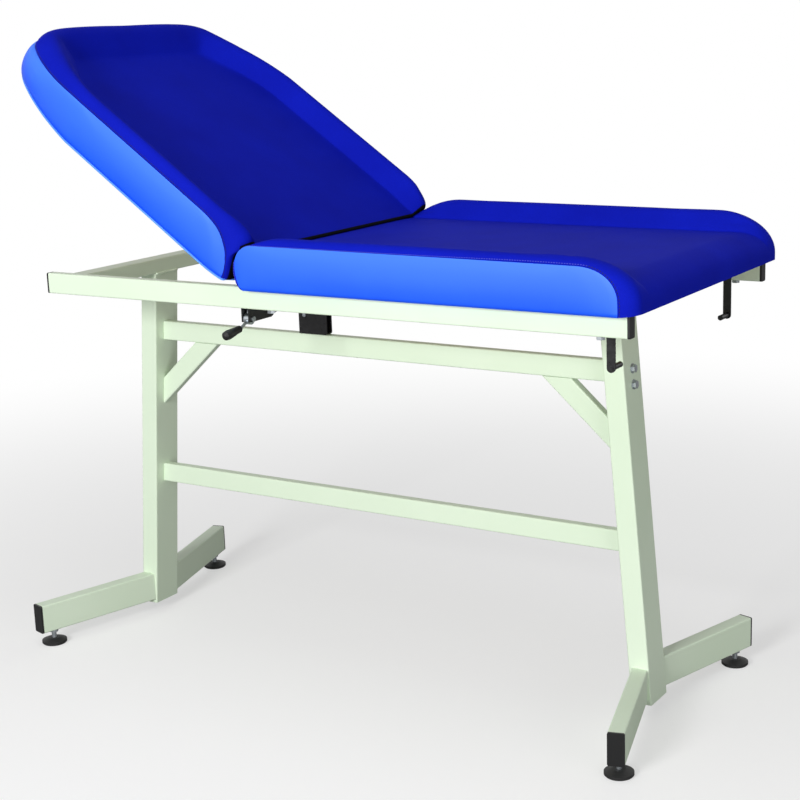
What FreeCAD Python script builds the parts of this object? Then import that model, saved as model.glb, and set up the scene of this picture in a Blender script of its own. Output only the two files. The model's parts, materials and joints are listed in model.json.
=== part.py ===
import FreeCAD, Part
import Sketcher
import math
import os
import re

# Pediatric examination couch: a welded steel frame on two leaning posts, a fixed seat
# cushion and a raised backrest cushion that is held by a lockable gas strut.
# Millimetres, +Z up, +X towards the foot end. The origin lies on the floor at the
# centre of the couch's overall box.

document = FreeCAD.newDocument("ExaminationCouch")

# Driving dimensions

SIZES = {
    "top frame": {
        "mid_x": 51, "mid_y": 13, "frame_width": 610, "rail_length": 1230,
        "rail_width": 20, "rail_height": 40, "rail_top": 800, "tube_wall": 2,
        "tube_corner": 3, "cap_flange": 4, "cap_plug": 18, "plug_play": 0.3,
        "crossbar_width": 40, "crossbar_height": 30, "hinge_bar_x": -120, "foot_post_x": 456,
    },
    "posts and stretchers": {
        "post_depth": 40, "post_width": 72, "post_lean": 4.9, "post_bottom": 23,
        "stretcher_height": 40, "stretcher_width": 20, "upper_stretcher_top": 655,
        "lower_stretcher_top": 340, "brace_angle": 42, "brace_depth": 40,
        "head_brace_reach": 84, "foot_brace_reach": 78,
        "end_plate_thick": 5, "end_plate_width": 44, "end_plate_drop": 15,
        "plate_rise": 2,
    },
    "leg beams and glides": {
        "beam_length": 274, "beam_width": 30, "beam_height": 60, "beam_top": 91,
        "beam_splay": 15.8, "glide_inset": 30, "glide_radius": 26, "glide_edge": 7,
        "glide_dome": 5, "stem_radius": 5, "stem_length": 52, "hex_flats": 17,
        "hex_height": 6, "hole_play": 0.4,
    },
    "fasteners": {
        "bolt_radius": 4, "bolt_play": 0.2, "bolt_flats": 13, "bolt_head": 5.5,
        "washer_radius": 9, "washer_thick": 1.6, "post_bolt_drop": 13,
        "post_bolt_pitch": 29, "post_bolt_length": 48, "board_bolt_length": 50,
        "foot_bolt_x": 565, "hinge_bolt_x": -82,
    },
    "seat": {
        "pad_overhang": 20, "pad_clear": 0.3, "seat_start": -146, "seat_end": 638,
        "seat_rim_height": 92, "seat_flat_height": 57, "seat_nose_step": 1,
        "seat_hinge_radius": 60, "pad_edge_radius": 28, "rim_crest_in": 35,
        "rim_slope_run": 50, "board_thick": 15, "board_inset": 14,
    },
    "backrest": {
        "recline": 35, "hinge_x": -156.5, "hinge_z": 787, "back_length": 690,
        "back_rim_height": 108, "back_flat_height": 70, "back_start": 14,
        "back_nose_lean": 30, "back_hinge_radius": 60, "taper_start": 470,
        "head_taper": 83, "head_corner_radius": 58, "taper_radius": 260,
        "rim_margin": 42, "rim_slope": 38, "head_rim": 70,
    },
    "hinges": {
        "hinge_y": 200, "knuckle_radius": 9, "hinge_pin_radius": 5, "hinge_pin_length": 30,
        "pin_play": 0.1, "lug_thick": 8, "ear_thick": 5, "ear_gap": 0.4,
        "leaf_thick": 4, "leaf_start": 22, "leaf_length": 70, "leaf_width": 46,
        "lug_drop": 24,
    },
    "strut": {
        "strut_foot_x": -217, "strut_foot_rise": 38, "strut_eye_reach": 190,
        "strut_eye_drop": 6, "strut_pin_radius": 4, "open_play": 2.8, "eye_wall": 4,
        "eye_width": 10, "cheek_gap": 0.5, "cheek_thick": 3, "strut_head_width": 13,
        "strut_head_back": 12, "strut_head_front": 22, "rod_radius": 4.5,
        "rod_length": 95, "cylinder_radius": 11, "cylinder_wall": 1.5,
        "cylinder_length": 112, "cylinder_neck": 5, "eye_shank": 16, "mount_front": 52,
        "mount_back": 14, "mount_crown": 18, "mount_corner": 3, "bracket_half": 14,
    },
    "release lever": {
        "lever_x": -145, "lever_y": -280, "lever_z": 737, "lever_drop_angle": 27,
        "lever_hub_radius": 10.5, "lever_hub_width": 11, "lever_rod_radius": 3,
        "lever_rod_length": 29, "grip_rise": 19, "grip_length": 50, "grip_start": 3, "grip_hold": 30,
        "grip_neck_radius": 6.5, "grip_end_radius": 9, "lever_pin_radius": 2.5,
        "lever_pin_head": 5, "lever_cheek": 3, "lever_mount_outer": 291,
        "lever_mount_inner": 218, "lever_mount_bottom": 732, "lever_flange": 34,
        "lever_tail": 15, "adjuster_radius": 4, "adjuster_length": 6,
        "outlet_radius": 3, "outlet_length": 14, "adjuster_z": 739,
    },
    "roll holder": {
        "strip_x": 564, "strip_y": 256, "strip_width": 15, "strip_thick": 3,
        "strip_drop": 108, "strip_foot": 25, "roll_pin_radius": 5, "roll_pin_length": 33,
        "roll_pin_rise": 7.5, "rivet_radius": 4, "rivet_height": 1.5,
    },
}

sizes = document.addObject("Spreadsheet::Sheet", "Sizes")
row = 1
for group, values in SIZES.items():
    sizes.set(f"A{row}", group)
    row += 1
    for alias, value in values.items():
        sizes.set(f"A{row}", alias)
        sizes.set(f"B{row}", str(value))
        sizes.setAlias(f"B{row}", alias)
        row += 1
document.recompute()

# Sizes that follow from the driving ones

FOLLOWING = {
    "rail_half": "rail_length / 2",
    "rail_bottom": "rail_top - rail_height",
    "rail_y": "frame_width / 2 - rail_width / 2",
    "rail_inside": "frame_width / 2 - rail_width",
    "head_post_x": "crossbar_width / 2 - rail_length / 2",
    "post_half": "post_depth / 2 / cos(post_lean)",
    "post_rate": "tan(post_lean)",
    "upper_bottom": "upper_stretcher_top - stretcher_height",
    "lower_bottom": "lower_stretcher_top - stretcher_height",
    "beam_bottom": "beam_top - beam_height",
    "beam_axis_z": "beam_top - beam_height / 2",
    "pad_bottom": "rail_top + pad_clear",
    "pad_half_width": "frame_width / 2 + pad_overhang",
    "rim_crest_half": "pad_half_width - rim_crest_in",
    "rim_foot_half": "rim_crest_half - rim_slope_run",
    "head_half_width": "pad_half_width - head_taper",
    "seat_nose_radius": "seat_rim_height - seat_nose_step",
    "lift": "rail_top + pad_clear - hinge_z",
    "strut_foot_z": "upper_stretcher_top + strut_foot_rise",
    "mount_height": "strut_foot_rise + mount_crown",
    "strut_dx": "hinge_x - strut_eye_reach * cos(recline) - strut_eye_drop * sin(recline)"
                " - strut_foot_x",
    "strut_dz": "hinge_z + strut_eye_reach * sin(recline) - strut_eye_drop * cos(recline)"
                " - strut_foot_z",
    "strut_span": "sqrt(strut_dx ^ 2 + strut_dz ^ 2)",
    "strut_angle": "atan2(strut_dz; 0 - strut_dx)",
    "strut_ring": "strut_pin_radius + open_play + eye_wall",
    "strut_cheek_half": "strut_head_width / 2 + cheek_gap + cheek_thick",
}


def linked(text):
    """The expression with each size's name turned into its cell."""
    def cell(match):
        word = match.group(0)
        if word in FOLLOWING:
            return "Following." + word
        if any(word in values for values in SIZES.values()):
            return "Sizes." + word
        return word
    return re.sub(r"[a-z][a-z0-9_]*", cell, str(text))


following = document.addObject("Spreadsheet::Sheet", "Following")
for row, (alias, text) in enumerate(FOLLOWING.items(), start=1):
    following.set(f"A{row}", alias)
    following.set(f"B{row}", "=" + linked(text).replace("Following.", ""))
    following.setAlias(f"B{row}", alias)
document.recompute()


def value(name):
    return float(getattr(following if name in FOLLOWING else sizes, name))


def bind(target, name, text):
    target.setExpression(name, linked(text))


# Bodies, sketches and features

nodes = []


def body(label, at=("0", "0", "0"), turn=None, axis=(0, 0, 1)):
    """A named piece: its origin stands at `at`, measured from the middle of the frame."""
    piece = document.addObject("PartDesign::Body", label)
    piece.Label = label
    if turn is not None:
        piece.Placement = FreeCAD.Placement(
            FreeCAD.Vector(0, 0, 0), FreeCAD.Rotation(FreeCAD.Vector(*axis), 1)
        )
        bind(piece, "Placement.Rotation.Angle", turn)
    bind(piece, "Placement.Base.x", f"mid_x + ({at[0]})")
    bind(piece, "Placement.Base.y", f"mid_y + ({at[1]})")
    bind(piece, "Placement.Base.z", at[2])
    nodes.append(piece)
    return piece


def plane(piece, role):
    return next(f for f in piece.Origin.OriginFeatures if f.Role == role)


def new_sketch(piece, role, lift="0"):
    drawing = piece.newObject("Sketcher::SketchObject", piece.Label + "_sketch")
    drawing.AttachmentSupport = [(plane(piece, role), "")]
    drawing.MapMode = "FlatFace"
    if lift != "0":
        bind(drawing, "AttachmentOffset.Base.z", lift)
    return drawing


def polygon(piece, role, corners, lift="0"):
    """A closed outline whose corners are bound to the sizes."""
    drawing = new_sketch(piece, role, lift)
    spots = [
        FreeCAD.Vector(measure(piece, x), measure(piece, y), 0) for x, y in corners
    ]
    count = len(spots)
    for i, spot in enumerate(spots):
        drawing.addGeometry(Part.LineSegment(spot, spots[(i + 1) % count]), False)
    for i in range(count):
        drawing.addConstraint(Sketcher.Constraint("Coincident", i, 2, (i + 1) % count, 1))
    for i, (x, y) in enumerate(corners):
        for kind, text, spot in (("DistanceX", x, spots[i].x), ("DistanceY", y, spots[i].y)):
            number = drawing.addConstraint(Sketcher.Constraint(kind, -1, 1, i, 1, spot))
            bind(drawing, f"Constraints[{number}]", text)
    return drawing


def disc(piece, role, radius, x="0", y="0", lift="0"):
    """A circle whose centre and radius are bound to the sizes."""
    drawing = new_sketch(piece, role, lift)
    spot = FreeCAD.Vector(measure(piece, x), measure(piece, y), 0)
    drawing.addGeometry(
        Part.Circle(spot, FreeCAD.Vector(0, 0, 1), measure(piece, radius)), False
    )
    for kind, text, size in (("DistanceX", x, spot.x), ("DistanceY", y, spot.y)):
        number = drawing.addConstraint(Sketcher.Constraint(kind, -1, 1, 0, 3, size))
        bind(drawing, f"Constraints[{number}]", text)
    number = drawing.addConstraint(Sketcher.Constraint("Radius", 0, measure(piece, radius)))
    bind(drawing, f"Constraints[{number}]", radius)
    return drawing


def measure(piece, text):
    """The present value of an expression."""
    result = piece.evalExpression(linked(text))
    return float(getattr(result, "Value", result))


def pad(piece, drawing, length, midplane=True, reverse=False):
    feature = piece.newObject("PartDesign::Pad", piece.Label + "_pad")
    feature.Profile = drawing
    feature.Midplane = midplane
    feature.Reversed = reverse
    bind(feature, "Length", length)
    drawing.Visibility = False
    document.recompute()
    return feature


def pocket(piece, drawing, length=None, midplane=True, reverse=False):
    """A cut; without a length it goes through everything."""
    before = piece.Shape.Volume
    feature = piece.newObject("PartDesign::Pocket", piece.Label + "_pocket")
    feature.Profile = drawing
    feature.Midplane = midplane
    feature.Reversed = reverse
    if length is None:
        feature.Type = "ThroughAll"
    else:
        bind(feature, "Length", length)
    document.recompute()
    if not piece.Shape.Volume < before:
        raise RuntimeError("nothing was cut from " + piece.Label)
    return feature


def revolve(piece, drawing, axis):
    feature = piece.newObject("PartDesign::Revolution", piece.Label + "_revolution")
    feature.Profile = drawing
    feature.ReferenceAxis = (drawing, [axis])
    feature.Angle = 360
    document.recompute()
    return feature


def rounded(piece, chosen, radius):
    """A fillet on the edges of the present shape for which chosen(edge) holds."""
    base = piece.Tip
    names = [f"Edge{i}" for i, edge in enumerate(base.Shape.Edges, start=1) if chosen(edge)]
    feature = piece.newObject("PartDesign::Fillet", piece.Label + "_fillet")
    feature.Base = (base, names)
    bind(feature, "Radius", radius)
    document.recompute()
    return feature


def along(direction):
    """Straight edges parallel to a direction."""
    wanted = FreeCAD.Vector(*direction).normalize()

    def test(edge):
        if edge.Curve.TypeId != "Part::GeomLine":
            return False
        ends = edge.Vertexes
        run = ends[1].Point.sub(ends[0].Point).normalize()
        return abs(run.dot(wanted)) > 1 - 1e-6
    return test


def near(coordinate, place, slack=0.5):
    """Edges whose centre has this coordinate."""
    def test(edge):
        return abs(getattr(edge.CenterOfMass, coordinate) - place) < slack
    return test


def every(*tests):
    return lambda edge: all(test(edge) for test in tests)


def sharp(piece, above):
    """Edges that meet at an angle, higher than a level, on the piece's present shape."""
    shape = piece.Tip.Shape

    def test(edge):
        faces = [face for face in shape.Faces if any(edge.isSame(e) for e in face.Edges)]
        if len(faces) != 2 or edge.CenterOfMass.z < above:
            return False
        first, last = edge.ParameterRange
        spot = edge.valueAt((first + last) / 2)
        normals = []
        for face in faces:
            u, v = face.Surface.parameter(spot)
            normals.append(face.normalAt(u, v))
        return normals[0].getAngle(normals[1]) > math.radians(15)
    return test


def rectangle(x, y):
    return [(f"0 - ({x})", f"0 - ({y})"), (x, f"0 - ({y})"), (x, y), (f"0 - ({x})", y)]


# Top frame: two side rails with plugged ends and three crossbars between them

SIDES = {"near": "-1", "far": "1"}
ENDS = {"head": "-1", "foot": "1"}
BOARD_BOLTS = {"foot": "foot_bolt_x", "hinge": "hinge_bolt_x"}


def straight_tube(label, at, length, width, height, run="x"):
    """A tube along X or Y whose section is width by height."""
    piece = body(label, at)
    role = "YZ_Plane" if run == "x" else "XZ_Plane"
    direction = (1, 0, 0) if run == "x" else (0, 1, 0)
    pad(piece, polygon(piece, role, rectangle(f"({width}) / 2", f"({height}) / 2")), length)
    rounded(piece, along(direction), "tube_corner")
    pocket(
        piece,
        polygon(
            piece, role,
            rectangle(f"({width}) / 2 - tube_wall", f"({height}) / 2 - tube_wall"),
        ),
        length,
    )
    return piece


for side, sign in SIDES.items():
    rail = straight_tube(
        "rail_" + side, ("0", f"{sign} * rail_y", "rail_top - rail_height / 2"),
        "rail_length", "rail_width", "rail_height",
    )
    for spot in BOARD_BOLTS.values():
        pocket(rail, disc(rail, "XY_Plane", "bolt_radius + bolt_play", spot), "rail_height * 2")

    for end, way in ENDS.items():
        cap = body(
            f"rail_cap_{end}_{side}",
            (f"{way} * rail_half", f"{sign} * rail_y", "rail_top - rail_height / 2"),
        )
        pad(
            cap,
            polygon(cap, "YZ_Plane", rectangle("rail_width / 2", "rail_height / 2")),
            "cap_flange", midplane=False, reverse=way == "-1",
        )
        rounded(cap, along((1, 0, 0)), "tube_corner")
        pad(
            cap,
            polygon(
                cap, "YZ_Plane",
                rectangle(
                    "rail_width / 2 - tube_wall - plug_play",
                    "rail_height / 2 - tube_wall - plug_play",
                ),
            ),
            "cap_plug", midplane=False, reverse=way == "1",
        )

CROSSBARS = {
    "head_crossbar": "head_post_x", "hinge_crossbar": "hinge_bar_x",
    "foot_crossbar": "foot_post_x",
}
for label, spot in CROSSBARS.items():
    straight_tube(
        label, (spot, "0", "rail_bottom + crossbar_height / 2"),
        "rail_inside * 2", "crossbar_width", "crossbar_height", run="y",
    )

# Two leaning posts; both ends of each are cut level

POSTS = {"head": ("head_post_x", "1"), "foot": ("foot_post_x", "-1")}


def post_outline(half, way):
    tilt = f"{way} * post_rate * ({half})"
    drop = "(rail_bottom - post_bottom) / cos(post_lean)"
    return [
        (f"0 - ({half})", f"0 - ({tilt})"),
        (half, tilt),
        (half, f"({tilt}) - {drop}"),
        (f"0 - ({half})", f"0 - ({tilt}) - {drop}"),
    ]


for end, (spot, way) in POSTS.items():
    post = body(
        f"post_{end}", (spot, "0", "rail_bottom"),
        turn=f"post_lean * {way}", axis=(0, 1, 0),
    )
    pad(post, polygon(post, "XZ_Plane", post_outline("post_depth / 2", way)), "post_width")
    rounded(post, along((0, 0, 1)), "tube_corner")
    pocket(
        post,
        polygon(post, "XZ_Plane", post_outline("post_depth / 2 - tube_wall", way)),
        "post_width - 2 * tube_wall",
    )

# The upper stretcher is bolted through the foot post; its end plate takes the bolts


def post_face(level, end):
    """Where a post's inner face stands at a level."""
    if end == "head":
        return f"head_post_x + post_half - (rail_bottom - ({level})) * post_rate"
    return f"foot_post_x - post_half + (rail_bottom - ({level})) * post_rate"


def between_posts(label, top, bottom, foot_gap):
    piece = body(label)

    def outline(high, low):
        return [
            (post_face(high, "head"), high), (f"{post_face(high, 'foot')} - {foot_gap}", high),
            (f"{post_face(low, 'foot')} - {foot_gap}", low), (post_face(low, "head"), low),
        ]
    pad(piece, polygon(piece, "XZ_Plane", outline(top, bottom)), "stretcher_width")
    rounded(piece, along((1, 0, 0)), "tube_corner")
    pocket(
        piece,
        polygon(piece, "XZ_Plane", outline(f"{top} - tube_wall", f"{bottom} + tube_wall")),
        "stretcher_width - 2 * tube_wall",
    )
    return piece


between_posts("upper_stretcher", "upper_stretcher_top", "upper_bottom",
              "end_plate_thick / cos(post_lean)")
between_posts("lower_stretcher", "lower_stretcher_top", "lower_bottom", "0")

end_plate = body("stretcher_end_plate", ("foot_post_x", "0", "rail_bottom"),
                 turn="-1 * post_lean", axis=(0, 1, 0))
plate_face = "0 - post_depth / 2"
plate_top = "(upper_stretcher_top - rail_bottom) / cos(post_lean) + plate_rise"
plate_low = "(upper_bottom - rail_bottom) / cos(post_lean) - end_plate_drop"
pad(
    end_plate,
    polygon(end_plate, "XZ_Plane", [
        (f"{plate_face} - end_plate_thick", plate_top), (plate_face, plate_top),
        (plate_face, plate_low), (f"{plate_face} - end_plate_thick", plate_low),
    ]),
    "end_plate_width",
)

BRACES = {"head": ("head_brace_reach", "1"), "foot": ("foot_brace_reach", "-1")}
for end, (reach, way) in BRACES.items():
    brace = body(f"brace_{end}")
    run = "(1 / tan(brace_angle) - post_rate)"

    def brace_outline(inset):
        """Corners on the stretcher and on the post, each side moved in by inset."""
        near_edge = f"({reach} + {inset} / sin(brace_angle))"
        far_edge = f"({reach} + (brace_depth - {inset}) / sin(brace_angle))"
        face = post_face("upper_bottom", end)
        corners = []
        for edge in (near_edge, far_edge):
            fall = f"({edge} / {run})"
            corners.append((f"{face} + {way} * {edge}", "upper_bottom"))
            corners.append((f"{face} - {way} * {fall} * post_rate", f"upper_bottom - {fall}"))
        return [corners[0], corners[2], corners[3], corners[1]]
    pad(brace, polygon(brace, "XZ_Plane", brace_outline("0")), "stretcher_width")
    slope = value("brace_angle")
    direction = (math.cos(math.radians(slope)), 0,
                 math.sin(math.radians(slope)) * float(way))
    rounded(brace, along(direction), "tube_corner")
    pocket(
        brace, polygon(brace, "XZ_Plane", brace_outline("tube_wall")),
        "stretcher_width - 2 * tube_wall",
    )

# Hexagon-headed bolts


def hexagon(flats):
    half, wide = f"({flats}) / 2", f"({flats}) / 2 / cos(30)"
    return [
        (wide, "0"), (f"{wide} / 2", half), (f"0 - {wide} / 2", half),
        (f"0 - {wide}", "0"), (f"0 - {wide} / 2", f"0 - {half}"), (f"{wide} / 2", f"0 - {half}"),
    ]


def bolt(label, at, length, turn=None, axis=(0, 0, 1), washer=True):
    """A bolt whose seat lies at its origin, with the shank along +Z and the head below."""
    piece = body(label, at, turn, axis)
    pad(piece, disc(piece, "XY_Plane", "bolt_radius"), length, midplane=False)
    rest = "washer_thick" if washer else "0"
    if washer:
        pad(piece, disc(piece, "XY_Plane", "washer_radius"), "washer_thick",
            midplane=False, reverse=True)
    pad(
        piece, polygon(piece, "XY_Plane", hexagon("bolt_flats"), f"0 - {rest}"),
        "bolt_head", midplane=False, reverse=True,
    )
    return piece


foot_post = next(piece for piece in nodes if piece.Label == "post_foot")
head_height = "rail_bottom - upper_stretcher_top + post_bolt_drop"
for number, label in enumerate(["post_bolt_upper", "post_bolt_lower"]):
    level = f"({head_height} + {number} * post_bolt_pitch)"
    run = f"({level} / cos(post_lean))"
    bolt(
        label,
        (
            f"foot_post_x + post_half + {level} * post_rate", "0", f"rail_bottom - {level}",
        ),
        "post_bolt_length", turn="0 - 90 - post_lean", axis=(0, 1, 0),
    )
    drill = f"0 - {run} - post_depth / 2 * post_rate"
    for drilled in (foot_post, end_plate):
        pocket(
            drilled,
            disc(drilled, "YZ_Plane", "bolt_radius + bolt_play", "0", drill),
            "post_depth * 2",
        )

for spot_name, spot in BOARD_BOLTS.items():
    for side, sign in SIDES.items():
        bolt(f"board_bolt_{spot_name}_{side}", (spot, f"{sign} * rail_y", "rail_bottom"),
             "board_bolt_length", washer=False)

# Leg beams in a shallow V at the foot of each post, with caps and levelling glides

for end, (spot, way) in POSTS.items():
    out = "-1" if end == "head" else "1"
    root_x = f"{spot} + {out} * (rail_bottom - beam_axis_z) * post_rate"
    for side, sign in SIDES.items():
        start = (root_x, f"{sign} * post_width / 2", "beam_axis_z")
        turn = f"{sign} * (90 - {out} * beam_splay)"
        lean = f"{sign} * {out} * tan(beam_splay)"

        def beam_outline(half):
            return [
                (f"({half}) * {lean}", f"0 - ({half})"), ("beam_length", f"0 - ({half})"),
                ("beam_length", half), (f"0 - ({half}) * {lean}", half),
            ]
        beam = body(f"leg_{end}_{side}", start, turn)
        pad(beam, polygon(beam, "XY_Plane", beam_outline("beam_width / 2")), "beam_height")
        rounded(beam, along((1, 0, 0)), "tube_corner")
        pocket(
            beam, polygon(beam, "XY_Plane", beam_outline("beam_width / 2 - tube_wall")),
            "beam_height - 2 * tube_wall",
        )
        pocket(
            beam,
            disc(beam, "XY_Plane", "stem_radius + hole_play", "beam_length - glide_inset"),
            "beam_height", midplane=False,
        )

        cap = body(f"leg_cap_{end}_{side}", start, turn)
        pad(
            cap,
            polygon(cap, "YZ_Plane", rectangle("beam_width / 2", "beam_height / 2"),
                    "beam_length"),
            "cap_flange", midplane=False,
        )
        rounded(cap, along((1, 0, 0)), "tube_corner")
        pad(
            cap,
            polygon(
                cap, "YZ_Plane",
                rectangle("beam_width / 2 - tube_wall - plug_play",
                          "beam_height / 2 - tube_wall - plug_play"),
                "beam_length",
            ),
            "cap_plug", midplane=False, reverse=True,
        )

        reach = "(beam_length - glide_inset)"
        foot_spot = (
            f"{root_x} + {out} * {reach} * sin(beam_splay)",
            f"{sign} * (post_width / 2 + {reach} * cos(beam_splay))", "0",
        )
        glide = body(f"glide_pad_{end}_{side}", foot_spot)
        revolve(
            glide,
            polygon(glide, "XZ_Plane", [
                ("0", "0"), ("glide_radius - 2", "0"), ("glide_radius", "2"),
                ("glide_radius", "glide_edge"),
                ("glide_radius * 0.45", "glide_edge + glide_dome"),
                ("0", "glide_edge + glide_dome"),
            ]),
            "V_Axis",
        )
        stem = body(f"glide_stem_{end}_{side}", foot_spot)
        pad(stem, disc(stem, "XY_Plane", "stem_radius", "0", "0", "glide_edge + glide_dome"),
            "stem_length", midplane=False)
        pad(
            stem,
            polygon(stem, "XY_Plane", hexagon("hex_flats"), "beam_bottom - hole_play"),
            "hex_height", midplane=False, reverse=True,
        )

# Seat: a plywood board under a cushion with raised side rims and a rounded foot end

seat_board = body("seat_board", ("0", "0", "pad_bottom"))
pad(
    seat_board,
    polygon(seat_board, "XZ_Plane", [
        ("seat_start + board_inset", "0"), ("seat_end - board_inset", "0"),
        ("seat_end - board_inset", "board_thick"), ("seat_start + board_inset", "board_thick"),
    ]),
    "2 * (pad_half_width - board_inset)",
)
bore = "board_bolt_length - rail_height - pad_clear + 1"
for spot in BOARD_BOLTS.values():
    for sign in SIDES.values():
        pocket(
            seat_board,
            disc(seat_board, "XY_Plane", "bolt_radius + bolt_play", spot, f"{sign} * rail_y"),
            bore, midplane=False, reverse=True,
        )

seat_pad = body("seat_pad", ("0", "0", "pad_bottom"))
pad(
    seat_pad,
    polygon(seat_pad, "XZ_Plane", [
        ("seat_start", "0"), ("seat_end", "0"),
        ("seat_end", "seat_rim_height"), ("seat_start", "seat_rim_height"),
    ]),
    "2 * pad_half_width",
)
across = along((0, 1, 0))
rounded(seat_pad, every(across, near("x", value("seat_end")),
                        near("z", value("seat_rim_height"))), "seat_nose_radius")
rounded(seat_pad, every(across, near("x", value("seat_start")),
                        near("z", value("seat_rim_height"))), "seat_hinge_radius")
rounded(seat_pad, sharp(seat_pad, 0.5), "pad_edge_radius")
slope_over = "(rim_crest_half - rim_foot_half) / (seat_rim_height - seat_flat_height)"
pocket(
    seat_pad,
    polygon(seat_pad, "YZ_Plane", [
        ("0 - rim_foot_half", "seat_flat_height"), ("rim_foot_half", "seat_flat_height"),
        (f"rim_crest_half + {slope_over} * 20", "seat_rim_height + 20"),
        (f"0 - rim_crest_half - {slope_over} * 20", "seat_rim_height + 20"),
    ]),
    "4 * (seat_end - seat_start)",
)
pocket(
    seat_pad,
    polygon(seat_pad, "XZ_Plane", [
        ("seat_start + board_inset", "-1"), ("seat_end - board_inset", "-1"),
        ("seat_end - board_inset", "board_thick"), ("seat_start + board_inset", "board_thick"),
    ]),
    "2 * (pad_half_width - board_inset)",
)

# Backrest: drawn lying flat from its hinge axis, then turned up to its reclined angle

def back_body(label, y="0"):
    return body(label, ("hinge_x", y, "hinge_z"), turn="recline", axis=(0, 1, 0))


def back_plan(inset):
    """The tapered outline seen from above, with every side moved in."""
    rate = "((pad_half_width - head_half_width) / (back_length - taper_start))"
    edge = f"(pad_half_width - {inset})"
    head = f"(head_half_width - {inset} + {inset} * {rate})"
    start = f"0 - back_start - {inset}"
    turn = "0 - taper_start"
    end = f"0 - back_length + {inset}"
    return [
        (start, f"0 - {edge}"), (start, edge), (turn, edge), (end, head),
        (end, f"0 - {head}"), (turn, f"0 - {edge}"),
    ]


back_board = back_body("back_board")
pad(back_board, polygon(back_board, "XY_Plane", back_plan("board_inset"), "lift"),
    "board_thick", midplane=False)

back_pad = back_body("back_pad")
pad(
    back_pad,
    polygon(back_pad, "XZ_Plane", [
        ("0 - back_start", "lift"), ("0 - back_start - back_nose_lean", "lift + back_rim_height"),
        ("0 - back_length", "lift + back_rim_height"), ("0 - back_length", "lift"),
    ]),
    "2 * pad_half_width",
)
for sign in SIDES.values():
    pocket(
        back_pad,
        polygon(back_pad, "XY_Plane", [
            ("0 - taper_start", f"{sign} * pad_half_width"),
            ("0 - back_length", f"{sign} * head_half_width"),
            ("0 - back_length - 50", f"{sign} * head_half_width"),
            ("0 - back_length - 50", f"{sign} * (pad_half_width + 50)"),
            ("0 - taper_start", f"{sign} * (pad_half_width + 50)"),
        ]),
        "4 * back_rim_height",
    )
upright = along((0, 0, 1))
rounded(back_pad, every(upright, near("x", -value("back_length"))), "head_corner_radius")
rounded(back_pad, every(upright, near("x", -value("taper_start"))), "taper_radius")
rounded(
    back_pad,
    every(across, near("z", value("lift") + value("back_rim_height")),
          near("x", -value("back_start") - value("back_nose_lean"))),
    "back_hinge_radius",
)
rounded(back_pad, sharp(back_pad, value("lift") + 1), "pad_edge_radius")

recess = polygon(
    back_pad, "XY_Plane", [
        ("50", "0 - (pad_half_width - rim_margin)"), ("50", "pad_half_width - rim_margin"),
        ("0 - taper_start", "pad_half_width - rim_margin"),
        ("0 - back_length + head_rim", "head_half_width - rim_margin * 0.7"),
        ("0 - back_length + head_rim", "0 - (head_half_width - rim_margin * 0.7)"),
        ("0 - taper_start", "0 - (pad_half_width - rim_margin)"),
    ],
    "lift + back_rim_height",
)
hollow = pocket(back_pad, recess, "back_rim_height - back_flat_height", midplane=False)
bind(hollow, "TaperAngle", "-1 * atan(rim_slope / (back_rim_height - back_flat_height))")
document.recompute()
pocket(back_pad, polygon(back_pad, "XY_Plane", back_plan("board_inset"), "lift"),
       "board_thick", midplane=False, reverse=True)

# Hinges: a lug on the crossbar carries the pin, two ears under the board turn on it

for side, sign in SIDES.items():
    lug = body(f"hinge_lug_{side}", ("hinge_x", f"{sign} * hinge_y", "hinge_z"))
    pad(lug, disc(lug, "XZ_Plane", "knuckle_radius"), "lug_thick")
    wall = "hinge_bar_x - crossbar_width / 2 - hinge_x"
    pad(
        lug,
        polygon(lug, "XZ_Plane", [
            ("0", "0 - knuckle_radius"), (wall, "0 - lug_drop"),
            (wall, "rail_bottom + crossbar_height - tube_corner - hinge_z"), ("0", "0"),
        ]),
        "lug_thick",
    )
    pad(lug, disc(lug, "XZ_Plane", "hinge_pin_radius"), "hinge_pin_length")

    leaf = back_body(f"hinge_leaf_{side}", f"{sign} * hinge_y")
    ears = "lug_thick + 2 * (ear_gap + ear_thick)"
    pad(leaf, disc(leaf, "XZ_Plane", "knuckle_radius"), ears)
    pad(
        leaf,
        polygon(leaf, "XZ_Plane", [
            ("0", "0 - knuckle_radius"), ("0", "knuckle_radius"),
            ("0 - leaf_start", "lift"), ("0 - leaf_start - leaf_length * 0.5", "lift"),
            ("0 - leaf_start - leaf_length * 0.5", "lift - leaf_thick"),
        ]),
        ears,
    )
    pocket(
        leaf,
        polygon(leaf, "XZ_Plane", [
            ("0 - leaf_start", "lift - leaf_thick"), ("50", "lift - leaf_thick"),
            ("50", "-50"), ("0 - leaf_start - leaf_length", "-50"),
            ("0 - leaf_start - leaf_length", "lift - leaf_thick"),
        ]),
        "lug_thick + 2 * ear_gap",
    )
    pocket(
        leaf,
        polygon(leaf, "XZ_Plane", [
            ("50", "lift + 1"), ("50", "-50"), ("0 - leaf_start", "-50"),
            ("0 - leaf_start", "lift + 1"),
        ]),
        "lug_thick + 2 * ear_gap",
    )
    pad(
        leaf,
        polygon(leaf, "XZ_Plane", [
            ("0 - leaf_start", "lift - leaf_thick"), ("0 - leaf_start", "lift"),
            ("0 - leaf_start - leaf_length", "lift"),
            ("0 - leaf_start - leaf_length", "lift - leaf_thick"),
        ]),
        "leaf_width",
    )
    pocket(leaf, disc(leaf, "XZ_Plane", "hinge_pin_radius + pin_play"), "leaf_width * 2")

# Gas strut: mount on the stretcher, release head with rod, cylinder, bracket on the board

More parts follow.
